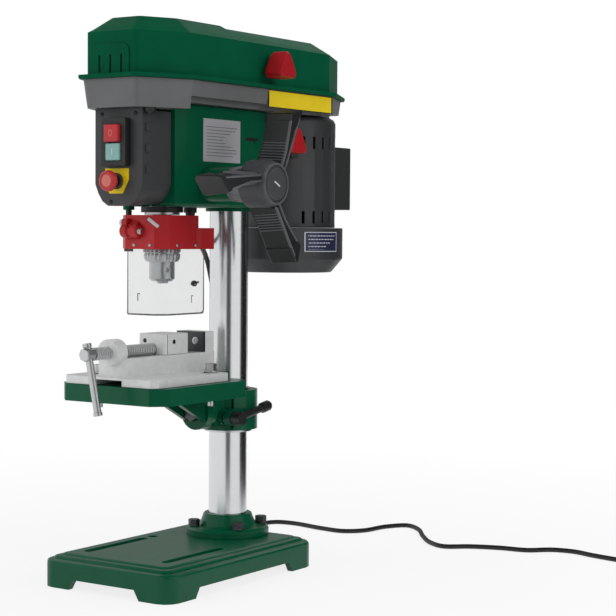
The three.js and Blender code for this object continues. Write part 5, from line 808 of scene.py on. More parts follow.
class Mould:
    """Gathers closed skins in the column's frame and casts them as one piece."""

    def __init__(self, name: str) -> None:
        """Starts an empty mould for the piece of that name."""
        self.name = name
        self.mesh = bmesh.new()

    def skin(self, rings: Sequence[Sequence[Point]], loop: bool = False) -> "Mould":
        """Joins rings of as many points each, one after the other, and closes the ends.

        Args:
            rings: The rings in order.
            loop: Whether the last ring joins the first in place of the ends being closed.

        Returns:
            This mould.
        """
        made = [[self.mesh.verts.new(point) for point in ring] for ring in rings]
        count = len(made[0])
        pairs = list(zip(made, made[1:])) + ([(made[-1], made[0])] if loop else [])
        for near, far in pairs:
            for i in range(count):
                after = (i + 1) % count
                self.mesh.faces.new((near[i], near[after], far[after], far[i]))
        if not loop:
            self.mesh.faces.new(made[0])
            self.mesh.faces.new(made[-1])
        return self

    def prism(self, outline: Sequence[Flat], low: float, high: float, axis: Axis) -> "Mould":
        """An outline drawn out along an axis.

        Args:
            outline: Its corners across the axis.
            low: Where it starts.
            high: Where it ends.
            axis: The axis.

        Returns:
            This mould.
        """
        return self.skin([[axis.point(a, b, along) for a, b in outline] for along in (low, high)])

    def turned(self, profile: Sequence[Flat], axis: Axis, centre: Flat, sides: int = 32) -> "Mould":
        """A profile turned about an axis.

        Args:
            profile: Its points, each a radius and a place along the axis. Nought becomes a tiny flat.
            axis: The axis.
            centre: The axis's place across.
            sides: How many sides the shape has.

        Returns:
            This mould.
        """
        rings = []
        for radius, along in profile:
            around = circle(max(radius, LEAST_RADIUS), sides, centre)
            rings.append([axis.point(a, b, along) for a, b in around])
        return self.skin(rings)

    def tube(self, line: Sequence[Vector], radius: Union[float, Sequence[float]], sides: int = 10) -> "Mould":
        """A round bar along a line.

        Args:
            line: The points of its middle.
            radius: Its radius, or one radius for each point.
            sides: How many sides its section has.

        Returns:
            This mould.
        """
        radii = [radius] * len(line) if isinstance(radius, (int, float)) else list(radius)
        rings = []
        side = Vector((0.0, 0.0, 1.0))
        for i, spot in enumerate(line):
            ahead = (line[min(i + 1, len(line) - 1)] - line[max(i - 1, 0)]).normalized()
            if i == 0 and abs(ahead.z) > UPRIGHT:
                side = Vector((1.0, 0.0, 0.0))
            side = (side - ahead * side.dot(ahead)).normalized()
            third = ahead.cross(side)
            rings.append([
                tuple(spot + side * radii[i] * a + third * radii[i] * b) for a, b in circle(1.0, sides)
            ])
        return self.skin(rings)

    def cast(
        self,
        finish: Finish,
        body: str,
        slot: str,
        stands_for: Sequence[str] = (),
        smooth: float = 40.0,
        soft: float = 0.0,
    ) -> bpy.types.Object:
        """Makes the piece.

        Args:
            finish: Its finish.
            body: The frame's body that it moves with.
            slot: A material slot's name; it is not used.
            stands_for: The frame's nodes that it replaces.
            smooth: The angle in degrees below which an edge is shaded smooth.
            soft: The width of its rounded edges.

        Returns:
            The piece.
        """
        bmesh.ops.recalc_face_normals(self.mesh, faces=self.mesh.faces)
        data = bpy.data.meshes.new(self.name)
        self.mesh.to_mesh(data)
        self.mesh.free()
        data.transform(Matrix.Scale(MILLIMETRE, 4) @ Matrix.Translation(COLUMN_AXIS))
        data.polygons.foreach_set("use_smooth", [True] * len(data.polygons))
        data.set_sharp_from_angle(angle=math.radians(smooth))
        piece = placed(self.name, data)
        data.materials.append(finish.material())
        if soft:
            Softener(soft, smooth).apply(piece)
        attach(piece, body)
        if stands_for:
            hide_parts(*stands_for)
        LOG.info("%s rides on %s", self.name, body)
        return piece


@dataclass(frozen=True)
class Softener:
    """Rounds a piece's sharp edges and shades its curves smooth, by modifiers alone."""

    width: float = 0.6
    angle: float = 38.0
    segments: int = 2
    flat_below: float = 0.6
    joined_below: float = 0.004

    def apply(self, piece: bpy.types.Object) -> None:
        """Adds the modifiers to a piece.

        Args:
            piece: The piece, whose mesh stays as it is below them.
        """
        self._group_modifier(piece, "joined", self._joining())
        flat = piece.modifiers.new("flat_faces", "DECIMATE")
        flat.decimate_type = "DISSOLVE"
        flat.angle_limit = math.radians(self.flat_below)
        bevel = piece.modifiers.new("soft_edges", "BEVEL")
        bevel.width = self.width * MILLIMETRE
        bevel.segments = self.segments
        bevel.limit_method = "ANGLE"
        bevel.angle_limit = math.radians(self.angle)
        bevel.use_clamp_overlap = True
        bevel.miter_outer = "MITER_ARC"
        self._group_modifier(piece, "smooth", self._smoothing())
        even = piece.modifiers.new("even_flats", "WEIGHTED_NORMAL")
        even.keep_sharp = True

    @staticmethod
    def _group_modifier(piece: bpy.types.Object, name: str, group: bpy.types.NodeTree) -> None:
        """Adds a geometry node group as a modifier."""
        piece.modifiers.new(name, "NODES").node_group = group

    @staticmethod
    def _group(name: str) -> Tuple[bpy.types.NodeTree, bpy.types.Node, bpy.types.Node]:
        """An empty geometry node group.

        Args:
            name: Its name.

        Returns:
            The group, its input node and its output node.
        """
        group = bpy.data.node_groups.new(name, "GeometryNodeTree")
        group.interface.new_socket("Geometry", in_out="INPUT", socket_type="NodeSocketGeometry")
        group.interface.new_socket("Geometry", in_out="OUTPUT", socket_type="NodeSocketGeometry")
        return group, group.nodes.new("NodeGroupInput"), group.nodes.new("NodeGroupOutput")

    def _joining(self) -> bpy.types.NodeTree:
        """The group that joins a faceted mesh's split corners and drops its stored normals.

        Returns:
            The group, made once.
        """
        found = bpy.data.node_groups.get("joined_corners")
        if found:
            return found
        group, start, end = self._group("joined_corners")
        plain = group.nodes.new("GeometryNodeRemoveAttribute")
        plain.inputs["Name"].default_value = "custom_normal"
        merge = group.nodes.new("GeometryNodeMergeByDistance")
        merge.inputs["Distance"].default_value = self.joined_below * MILLIMETRE
        group.links.new(start.outputs[0], plain.inputs[0])
        group.links.new(plain.outputs[0], merge.inputs[0])
        group.links.new(merge.outputs[0], end.inputs[0])
        return group

    def _smoothing(self) -> bpy.types.NodeTree:
        """The group that shades all faces smooth and keeps the edges above the angle sharp.

        Returns:
            The group, made once for each angle.
        """
        name = f"smooth_below_{self.angle:g}"
        found = bpy.data.node_groups.get(name)
        if found:
            return found
        group, start, end = self._group(name)
        faces = group.nodes.new("GeometryNodeSetShadeSmooth")
        faces.domain = "FACE"
        edges = group.nodes.new("GeometryNodeSetShadeSmooth")
        edges.domain = "EDGE"
        edges.inputs["Shade Smooth"].default_value = False
        bend = group.nodes.new("GeometryNodeInputMeshEdgeAngle")
        sharp = group.nodes.new("FunctionNodeCompare")
        sharp.data_type, sharp.operation = "FLOAT", "GREATER_THAN"
        sharp.inputs[1].default_value = math.radians(self.angle)
        group.links.new(bend.outputs["Unsigned Angle"], sharp.inputs[0])
        group.links.new(start.outputs[0], faces.inputs[0])
        group.links.new(faces.outputs[0], edges.inputs[0])
        group.links.new(sharp.outputs[0], edges.inputs["Selection"])
        group.links.new(edges.outputs[0], end.inputs[0])
        return group


# The frame's own nodes and what is laid on them


FROM_RIGHT: Point = (-1.0, 0.0, 0.0)
FROM_FRONT: Point = (0.0, 1.0, 0.0)


def in_column(box: Sequence[Vector]) -> List[Point]:
    """The corners of a box in metres, as millimetres in the column's frame."""
    return [tuple(corner[i] / MILLIMETRE - COLUMN_AXIS[i] for i in range(3)) for corner in box]


class Carrier:
    """A node of the frame that smaller things are seated on."""

    LABEL_GAP = 0.03

    def __init__(self, node: str) -> None:
        """Reads the node's surface at rest.

        Args:
            node: The node's name.
        """
        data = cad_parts[node].data
        self.node = node
        corners = [vertex.co for vertex in data.vertices]
        self.tree = BVHTree.FromPolygons(corners, [tuple(face.vertices) for face in data.polygons])

    def seat(self, point: Point, direction: Point, reach: float = 30.0) -> Tuple[Vector, Vector]:
        """Where a line through a point meets the node.

        Args:
            point: A point near the surface, in the column's frame.
            direction: The way to look, towards the surface.
            reach: How far before the point the look starts, in millimetres.

        Returns:
            The place on the surface and its normal, in the column's frame.
        """
        ahead = Vector(direction).normalized()
        start = metres(point) - ahead * reach * MILLIMETRE
        place, normal, _, _ = self.tree.ray_cast(start, ahead)
        if place is None:
            raise ValueError(f"nothing of {self.node} lies behind {point}")
        return place / MILLIMETRE - COLUMN_AXIS, normal

    def label(
        self,
        name: str,
        corners: Sequence[Point],
        direction: Point,
        thickness: float,
        rows: int = 6,
        columns: int = 12,
    ) -> Mould:
        """A thin plate that follows the surface between four corners.

        Args:
            name: The piece's name.
            corners: Its corners in order, near the surface.
            direction: The way to look, towards the surface.
            thickness: How far it stands proud.
            rows: How many strips it has up its sides.
            columns: How many it has along its top.

        Returns:
            The mould that holds it.
        """
        a, b, c, d = (Vector(corner) for corner in corners)
        under, over = [], []
        for row in range(rows + 1):
            left, right = a.lerp(d, row / rows), b.lerp(c, row / rows)
            seats = [self.seat(tuple(left.lerp(right, k / columns)), direction) for k in range(columns + 1)]
            under.append([tuple(place + normal * self.LABEL_GAP) for place, normal in seats])
            over.append([tuple(place + normal * thickness) for place, normal in seats])
        return Mould(name).skin([low + high[::-1] for low, high in zip(under, over)])


@dataclass(frozen=True)
class Look:
    """The finish and the edge width of a frame node."""

    finish: Finish
    edge: float = 0.6
    angle: float = 38.0
    segments: int = 2

    def apply(self, node: str) -> None:
        """Dresses the node where it stands.

        Args:
            node: The node's name.
        """
        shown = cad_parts[node]
        shown.data.materials.clear()
        shown.data.materials.append(self.finish.material())
        Softener(self.edge, self.angle, self.segments).apply(shown)
        LOG.info("%s keeps its shape and takes %s", node, self.finish.name)


SCREW_SHARES: Outline = (
    (0.0, -0.3), (1.0, -0.3), (1.0, 0.25), (0.86, 0.5), (0.5, 0.66), (0.44, 0.66), (0.4, 0.3), (0.0, 0.3),
)
SCREW_SIDES = 18


def screw_head(name: str, centre: Point, axis: Axis, outward: float, radius: float) -> Mould:
    """A domed screw head with a round socket.

    Args:
        name: The piece's name.
        centre: The middle of its seat.
        axis: The axis that it stands on.
        outward: One or minus one, the way it faces.
        radius: Its radius.

    Returns:
        The mould that holds it.
    """
    first, second, along = (centre[place] for place in axis.value)
    steps = [(share * radius, along + outward * up * radius) for share, up in SCREW_SHARES]
    return Mould(name).turned(steps, axis, (first, second), SCREW_SIDES)


class SubAssembly:
    """A group of pieces of the machine that belong together."""

    def dress(self) -> None:
        """Dresses the group's frame nodes and adds its own pieces."""
        for node, look in self.looks().items():
            look.apply(node)
        self.build()

    def looks(self) -> Dict[str, Look]:
        """The finish of each frame node that stays in view."""
        return {}

    def build(self) -> None:
        """Adds the group's own pieces."""


# The machine's groups


@dataclass
class Stand(SubAssembly):
    """The base, the column and the flange that joins them."""

    bolts: int = 4
    base_edge: float = 1.6
    flange_edge: float = 1.2

    def looks(self) -> Dict[str, Look]:
        """Green castings, a bright column and dark bolts."""
        return {
            "base_plate": Look(GREEN_CAST, self.base_edge, segments=3),
            "column_flange": Look(GREEN_CAST, self.flange_edge, segments=3),
            "column_tube": Look(COLUMN_STEEL, 0.6, angle=30.0),
            **{f"flange_bolt_{k + 1}": Look(DARK_STEEL, 0.5) for k in range(self.bolts)},
        }


@dataclass
class Head(SubAssembly):
    """The head casting with its rating plate and its small stamped bar."""

    side_x: float = 44.0
    plate_low: Flat = (-108.9, 478.0)
    plate_high: Flat = (-39.0, 526.5)
    rule_pitch: float = 3.6
    bar_low: Flat = (-27.0, 505.2)
    bar_high: Flat = (-5.0, 508.4)
    thickness: float = 0.5

    def looks(self) -> Dict[str, Look]:
        """The casting itself."""
        return {"head_casting": Look(GREEN_FINE, 1.3, segments=3)}

    def build(self) -> None:
        """Lays the plate and the bar on the right side."""
        side = Carrier("head_casting")
        low, high = self.plate_low, self.plate_high
        rules = Ruled("rating_plate", 0xA9A9AE, 0.35, ink=0x1A1A1E, low=low, high=high, pitch=self.rule_pitch)
        side.label("rating_plate", on_side(self.side_x, low, high), FROM_RIGHT, self.thickness).cast(
            rules, "machine", "cast_alloy")
        corners = on_side(self.side_x, self.bar_low, self.bar_high)
        side.label("head_bar", corners, FROM_RIGHT, self.thickness, rows=1, columns=2).cast(
            DARK_STEEL, "machine", "cast_alloy")


@dataclass
class BeltCover(SubAssembly):
    """The grey belt housing, the green lid, the pulleys and the belt."""

    strip_low: Flat = (-15.5, 544.0)
    strip_high: Flat = (119.0, 564.2)
    strip_layer: float = 0.2
    strip_lift: float = 0.1
    yellow_inset_low: Flat = (0.8, 0.8)
    yellow_inset_high: Flat = (2.6, 0.8)
    wall_x: float = 62.0
    look_inset: Flat = (2.0, 1.5)
    plug_centre: Flat = (39.3, -196.67)
    plug_profile: Outline = ((0.0, 526.0), (2.9, 526.1), (5.9, 529.7), (5.9, 533.2), (0.0, 533.2))
    plug_sides: int = 24

    def looks(self) -> Dict[str, Look]:
        """Painted sheet, moulded cover, cast pulleys and a rubber belt."""
        return {
            "belt_housing": Look(GREY_PAINT, 0.9, segments=3),
            "lid": Look(GREEN_COVER, 1.2, segments=3),
            "lid_knob": Look(RED_KNOB, 1.3, segments=3),
            "spindle_pulley": Look(PULLEY_ALLOY, 0.5),
            "motor_pulley": Look(PULLEY_ALLOY, 0.5),
            "v_belt": Look(BELT_RUBBER, 0.5),
        }

    def build(self) -> None:
        """Caps the housing's plug, and lays the yellow strip and its dark edge on the housing's side."""
        low, high = self.strip_low, self.strip_high
        wall = Carrier("belt_housing")
        height = high[1] - self.look_inset[1]
        ends = (low[0] + self.look_inset[0], high[0] - self.look_inset[0])
        x = max(wall.seat((self.wall_x, y, height), FROM_RIGHT)[0].x for y in ends) + self.strip_lift
        Mould("housing_plug").turned(self.plug_profile, Axis.Z, self.plug_centre, self.plug_sides).cast(
            BLACK_PLASTIC, "machine", "black_plastic")
        self._layer("strip_edge", rectangle(low, high), x, BLACK_INK)
        (low_y, low_z), (high_y, high_z) = self.yellow_inset_low, self.yellow_inset_high
        yellow = rectangle((low[0] + low_y, low[1] + low_z), (high[0] - high_y, high[1] - high_z))
        self._layer("strip_yellow", yellow, x + self.strip_layer, YELLOW_PLATE)

    def _layer(self, name: str, outline: Sequence[Flat], x: float, finish: Finish) -> None:
        """One flat layer of the strip.

        Args:
            name: The piece's name.
            outline: Its corners in y and z.
            x: Its middle.
            finish: Its finish.
        """
        Mould(name).prism(outline, x - self.strip_layer, x + self.strip_layer, Axis.X).cast(
            finish, "machine", "grey_paint")


@dataclass
class SwitchBox(SubAssembly):
    """The switch box on the nose of the head."""

    front_y: float = -203.3
    screw_places: Outline = ((-11.0, 431.0), (24.0, 527.0), (-24.0, 527.0))
    screw_radius: float = 2.2
    plate_outline: Outline = (
        (-18.5, 449.0), (-12.0, 440.0), (6.5, 440.0), (15.0, 455.5), (15.0, 467.5), (-18.5, 467.5),
    )
    plate_look: float = 10.0
    plate_back: float = 0.05
    plate_front: float = 0.8
    estop: Flat = (-1.5, 453.5)
    estop_radius: float = 11.6
    estop_sides: int = 40
    behind_shares: Outline = ((0.0, 0.0), (0.62, 0.0), (0.66, -1.5), (0.86, -2.6), (0.97, -4.0), (1.0, -5.6))
    before_shares: Outline = (
        (0.98, 2.2), (0.92, 0.9), (0.82, 0.15), (0.74, 0.0), (0.68, 0.5), (0.6, 0.8), (0.3, 0.6), (0.0, 0.55),
    )
    face_shares: Outline = ((0.0, 1.2), (0.6, 1.4), (0.58, 0.45), (0.0, 0.25))
    stop_z: float = 505.5
    ring_outer: Flat = (2.6, 3.9)
    ring_inner: Flat = (1.7, 3.0)
    ring_sides: int = 24
    start_z: float = 485.2
    bar_half: Flat = (0.6, 3.8)
    mark_sunk: float = 0.1
    mark_proud: float = 0.15

    def looks(self) -> Dict[str, Look]:
        """Dark moulded box, black bezel and coloured buttons."""
        return {
            "switch_housing": Look(DARK_BOX, 0.9, segments=3),
            "switch_bezel": Look(BLACK_PLASTIC, 0.6),
            "stop_button": Look(STOP_RED, 0.9, segments=3),
            "start_button": Look(START_TEAL, 0.9, segments=3),
            "estop_plunger": Look(BLACK_PLASTIC, 0.4),
        }

    def build(self) -> None:
        """Adds the yellow plate, the stop head, the button marks and the cover's screws."""
        self._yellow_plate()
        self._estop_head()
        self._marks()
        cover = Carrier("switch_housing")
        for number, (x, z) in enumerate(self.screw_places):
            place, _ = cover.seat((x, self.front_y, z), FROM_FRONT)
            screw_head(f"cover_screw_{number + 1}", tuple(place), Axis.Y, -1.0, self.screw_radius).cast(
                BLACK_STEEL, "machine", "black_steel")

    def _yellow_plate(self) -> None:
        """The plate under the stop head, cut off at the cover's chin."""
        near = (self.estop[0] + self.plate_look, self.front_y, self.estop[1] + self.plate_look)
        y = Carrier("switch_housing").seat(near, FROM_FRONT)[0].y
        back, front = y - self.plate_back, y - self.plate_front
        Mould("estop_plate").prism(self.plate_outline, back, front, Axis.Y).cast(
            YELLOW_PLATE, "machine", "black_plastic")

    def _on_head(self, shares: Outline, start: float) -> List[Flat]:
        """A profile of the stop head, from shares of its radius and heights over a start."""
        return [(share * self.estop_radius, start + along) for share, along in shares]

    def _estop_head(self) -> None:
        """The mushroom head, with a dished face and a rounded rim, and a pale disc on the face as a painted
        highlight.
        """
        (_, front, _), (_, back, _) = in_column(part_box("estop_head"))
        profile = self._on_head(self.behind_shares, back) + self._on_head(self.before_shares, front)
        Mould("estop_head_shell").turned(profile, Axis.Y, self.estop, self.estop_sides).cast(
            STOP_RED, "estop_head", "red_plastic", ["estop_head"], smooth=60.0)
        # A pale disc on the face of the red head, a painted highlight.
        face = self._on_head(self.face_shares, front)
        Mould("estop_face").turned(face, Axis.Y, self.estop, self.estop_sides).cast(
            STOP_MARK_AND_HIGHLIGHT, "estop_head", "red_plastic", smooth=30.0)

    def _marks(self) -> None:
        """A ring on the stop button and a bar on the start button."""
        face = in_column(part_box("stop_button"))[0][1]
        back, front = face + self.mark_sunk, face - self.mark_proud
        outer, inner = self.ring_outer, self.ring_inner
        rings = []
        for (reach_x, reach_z), y in ((outer, back), (outer, front), (inner, front), (inner, back)):
            around = circle(1.0, self.ring_sides)
            rings.append([(a * reach_x, y, self.stop_z + b * reach_z) for a, b in around])
        Mould("stop_mark").skin(rings, loop=True).cast(STOP_MARK_AND_HIGHLIGHT, "stop_button", "stop_red")
        face = in_column(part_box("start_button"))[0][1]
        half_x, half_z = self.bar_half
        bar = rectangle((-half_x, self.start_z - half_z), (half_x, self.start_z + half_z))
        Mould("start_mark").prism(bar, face + self.mark_sunk, face - self.mark_proud, Axis.Y).cast(
            PALE_INK, "start_button", "start_teal")


@dataclass
class FeedHandle(SubAssembly):
    """The feed shaft, its depth collar and the handle with its arms.

    A place on an arm is given as along it, across it and its x.
    """

    axis_y: float = -99.5
    axis_z: float = 452.0
    arms: int = 3
    arm_turn: float = 4.0
    arm_face_x: float = 134.9
    rim_runs: Tuple[Outline, ...] = (((23.0, -10.6), (91.0, -10.6)), ((23.0, -4.2), (80.0, 2.6)))
    rim_rises: Outline = ((0.0, 0.2), (0.04, 2.0), (0.35, 2.0), (0.96, 1.8), (1.0, 0.2))
    rim_bend_share: float = 0.35
    rim_halves: Point = (1.3, 1.1, 0.5)
    rim_sunk: float = 0.8
    rim_shoulder_share: float = 0.7
    comb_start: float = 31.0
    comb_pitch: float = 3.5
    comb_teeth: int = 7
    comb_sides: Sequence[Point] = ((1.0, -1.2, -4.2), (-1.0, -13.8, -10.8))
    comb_rises: Outline = ((104.0, 0.4), (106.0, 2.9), (133.2, 2.9), (135.6, 1.4))
    comb_foot: float = 1.0
    comb_tip: float = 0.6
    tip_spreads: Outline = ((101.6, 1.4), (103.6, 3.4), (134.0, 0.9), (136.4, -0.4))
    tip_corners: Sequence[Point] = (
        (77.0, -12.4, -1.0), (97.2, -12.4, -0.5), (98.0, -9.0, 0.0), (85.4, 5.6, 1.0), (77.0, 3.4, 1.0),
    )
    hub_face_x: float = 139.6
    hub_rings: Sequence[Tuple[str, float, float, float]] = (
        ("hub_rim", 23.4, 20.6, -0.6), ("hub_ring", 17.6, 16.6, 0.4),
    )
    ring_depth: float = 2.6
    ring_chamfer: float = 0.3
    ring_sides: int = 48
    bar_half: Flat = (5.6, 0.8)
    bar_turn: float = -28.0
    bar_sunk: float = 0.1
    bar_proud: float = 0.3
    scale_lines: int = 51
    scale_turn: float = 5.45
    scale_inset: float = 1.2
    long_each: int = 5
    long_line: float = 9.0
    short_line: float = 5.0
    line_half: float = 0.16
    line_sunk: float = 0.35
    line_proud: float = 0.05

    def looks(self) -> Dict[str, Look]:
        """Dark moulded handle on a bright shaft, with a lighter hub as a painted reflection."""
        return {
            "feed_shaft": Look(CROSS_STEEL, 0.4),
            "depth_collar": Look(GREY_METAL, 0.8),
            # The hub is painted lighter than the arms, as a painted reflection.
            "handle_hub": Look(HUB_REFLECTION_PAINT, 1.2, segments=3),
            **{f"handle_arm_{k + 1}": Look(DARK_HANDLE, 1.4, segments=3) for k in range(self.arms)},
        }

    def _on_arm(self, number: int, along: float, across: float, x: float) -> Point:
        """A place on an arm.

        Args:
            number: The arm's number, from nought.
            along: How far out along the arm.
            across: How far across it.
            x: How far to the right.

        Returns:
            The place in the column's frame.
        """
        angle = math.pi + math.radians(self.arm_turn) + 2 * math.pi * number / self.arms
        return (
            x,
            self.axis_y + along * math.cos(angle) - across * math.sin(angle),
            self.axis_z + along * math.sin(angle) + across * math.cos(angle),
        )

    def build(self) -> None:
        """Adds the arms' rims, combs and tip blocks, the cap's rings and bar, and the collar's scale."""
        for number in range(self.arms):
            self._rims(number)
            self._comb(number)
            self._tip(number)
        self._cap()
        self._scale()

    def _rims(self, number: int) -> None:
        """The two raised rims down the outer face of an arm.

        Args:
            number: The arm's number, from nought.
        """
        mould = Mould(f"arm_rims_{number + 1}")
        foot, shoulder, top = self.rim_halves
        for near, far in self.rim_runs:
            rings = []
            for share, rise in self.rim_rises:
                along = near[0] + (far[0] - near[0]) * share
                bend = max(share - self.rim_bend_share, 0.0) / (1 - self.rim_bend_share)
                across = near[1] + (far[1] - near[1]) * bend
                low, middle = -self.rim_sunk, rise * self.rim_shoulder_share
                section = ((-foot, low), (foot, low), (shoulder, middle), (top, rise), (-top, rise),
                           (-shoulder, middle))
                rings.append([
                    self._on_arm(number, along, across + a, self.arm_face_x + b) for a, b in section
                ])
            mould.skin(rings)
        # The rims take a lighter grey than the arm, as a painted highlight.
        mould.cast(HANDLE_RIM_HIGHLIGHT, "feed", "dark_plastic", smooth=50.0)

    def _comb(self, number: int) -> None:
        """Ribs like the teeth of a comb round the two sides of an arm's root.

        Args:
            number: The arm's number, from nought.
        """
        mould = Mould(f"arm_comb_{number + 1}")
        foot, tip = self.comb_foot, self.comb_tip
        for step in range(self.comb_teeth):
            along = self.comb_start + self.comb_pitch * step
            for side, inner, outer in self.comb_sides:
                rings = []
                for (x, rise), root in zip(self.comb_rises, (inner, inner, outer, outer)):
                    rib = ((-foot, 0.0), (foot, 0.0), (tip, rise), (-tip, rise))
                    rings.append([self._on_arm(number, along + a, root + side * b, x) for a, b in rib])
                mould.skin(rings)
        # The teeth take a lighter grey than the arm, as a painted highlight.
        mould.cast(HANDLE_RIM_HIGHLIGHT, "feed", "dark_plastic", soft=0.3)

    def _tip(self, number: int) -> None:
        """The block at an arm's end, a little proud of the blade.

        Args:
            number: The arm's number, from nought.
        """
        rings = []
        for x, spread in self.tip_spreads:
            rings.append([
                self._on_arm(number, along, across + share * spread, x)
                for along, across, share in self.tip_corners
            ])
        Mould(f"arm_tip_{number + 1}").skin(rings).cast(DARK_HANDLE, "feed", "dark_plastic", soft=0.9)

    def _cap(self) -> None:
        """The round cap's raised rings and its plain pale bar."""
        centre = (self.axis_y, self.axis_z)
        for name, outer, inner, lift in self.hub_rings:
            top = self.hub_face_x + lift
            low, chamfer = top - self.ring_depth, self.ring_chamfer
            rings = []
            for radius, x in ((outer, low), (outer - chamfer, top), (inner + chamfer, top), (inner, low)):
                rings.append([Axis.X.point(a, b, x) for a, b in circle(radius, self.ring_sides, centre)])
            # The rings take a lighter grey than the cap, as a painted highlight.
            Mould(name).skin(rings, loop=True).cast(HANDLE_RIM_HIGHLIGHT, "feed", "dark_plastic")
        turn = math.radians(self.bar_turn)
        half_y, half_z = self.bar_half
        corners = [
            (a * math.cos(turn) - b * math.sin(turn), a * math.sin(turn) + b * math.cos(turn))
            for a, b in rectangle((-half_y, -half_z), (half_y, half_z))
        ]
        low, high = self.hub_face_x - self.bar_sunk, self.hub_face_x + self.bar_proud
        Mould("hub_bar").prism(moved(corners, *centre), low, high, Axis.X).cast(
            PALE_INK, "feed", "dark_plastic")

    def _scale(self) -> None:
        """The depth scale's lines round the collar, with each fifth one longer."""
        low, high = in_column(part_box("depth_collar"))
        radius = (high[1] - low[1]) / 2
        start = low[0] + self.scale_inset
        under, over, half = radius - self.line_sunk, radius + self.line_proud, self.line_half
        section = ((under, -half), (under, half), (over, half), (over, -half))
        mould = Mould("depth_scale")
        for step in range(self.scale_lines):
            angle = math.radians(step * self.scale_turn)
            length = self.long_line if step % self.long_each == 0 else self.short_line
            turns = [(reach, angle + aside / radius) for reach, aside in section]
            around = [
                (self.axis_y + reach * math.cos(turn), self.axis_z + reach * math.sin(turn))
                for reach, turn in turns
            ]
            mould.prism(around, start, start + length, Axis.X)
        mould.cast(BLACK_INK, "feed", "black_steel")
        rest = high[0] - start - self.long_line
        LOG.info("the depth scale ends %.1f mm before the collar's far rim", rest)


@dataclass
class QuillAndChuck(SubAssembly):
    """The quill, the spindle and the keyed chuck with its jaws.

    A level of the sleeve is its height, how far it lies inside the rim and its share of the flutes' depth.
    """

    axis: Flat = (0.0, -127.0)
    jaws: int = 3
    flutes: int = 24
    points_each: int = 6
    flute_depth: float = 1.1
    bore_radius: float = 17.3
    lower_levels: Sequence[Point] = (
        (0.0, 3.2, 0.0), (3.6, 0.9, 1.0), (8.6, 0.5, 1.0), (8.8, 1.6, 0.0), (10.2, 1.6, 0.0),
        (10.6, 0.1, 0.0), (11.4, 0.05, 0.5),
    )
    upper_levels: Sequence[Point] = ((-3.0, 0.05, 0.5), (-2.2, 0.1, 0.0), (0.0, 1.4, 0.0))

    def looks(self) -> Dict[str, Look]:
        """Bright turned steel, and a black collar."""
        return {
            "quill": Look(TURNED_STEEL, 0.5),
            "quill_collar": Look(BLACK_PLASTIC, 0.8),
            "quill_bearing": Look(DARK_STEEL, 0.4),
            "spindle": Look(TURNED_STEEL, 0.4),
            "chuck_body": Look(TURNED_STEEL, 0.6),
            "return_spring_cap": Look(BLACK_STEEL, 1.0),
            **{f"chuck_jaw_{k + 1}": Look(TURNED_STEEL, 0.25) for k in range(self.jaws)},
        }

    def build(self) -> None:
        """Makes the chuck's sleeve with its gear teeth below and its fluted grip above."""
        low, high = in_column(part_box("chuck_sleeve"))
        outer = (high[0] - low[0]) / 2
        levels = [(low[2], self.bore_radius, 0.0)]
        for start, steps in ((low[2], self.lower_levels), (high[2], self.upper_levels)):
            levels += [(start + up, outer - inset, share) for up, inset, share in steps]
        levels.append((high[2], self.bore_radius, 0.0))
        rings = []
        for z, radius, share in levels:
            ring = []
            for a, b in circle(1.0, self.flutes * self.points_each):
                wave = 0.5 - 0.5 * math.cos(math.atan2(b, a) * self.flutes)
                reach = radius - share * self.flute_depth * wave
                ring.append((self.axis[0] + a * reach, self.axis[1] + b * reach, z))
            rings.append(ring)
        Mould("chuck_sleeve_shell").skin(rings, loop=True).cast(
            TURNED_STEEL, "chuck_sleeve", "bright_steel", ["chuck_sleeve"], smooth=50.0)


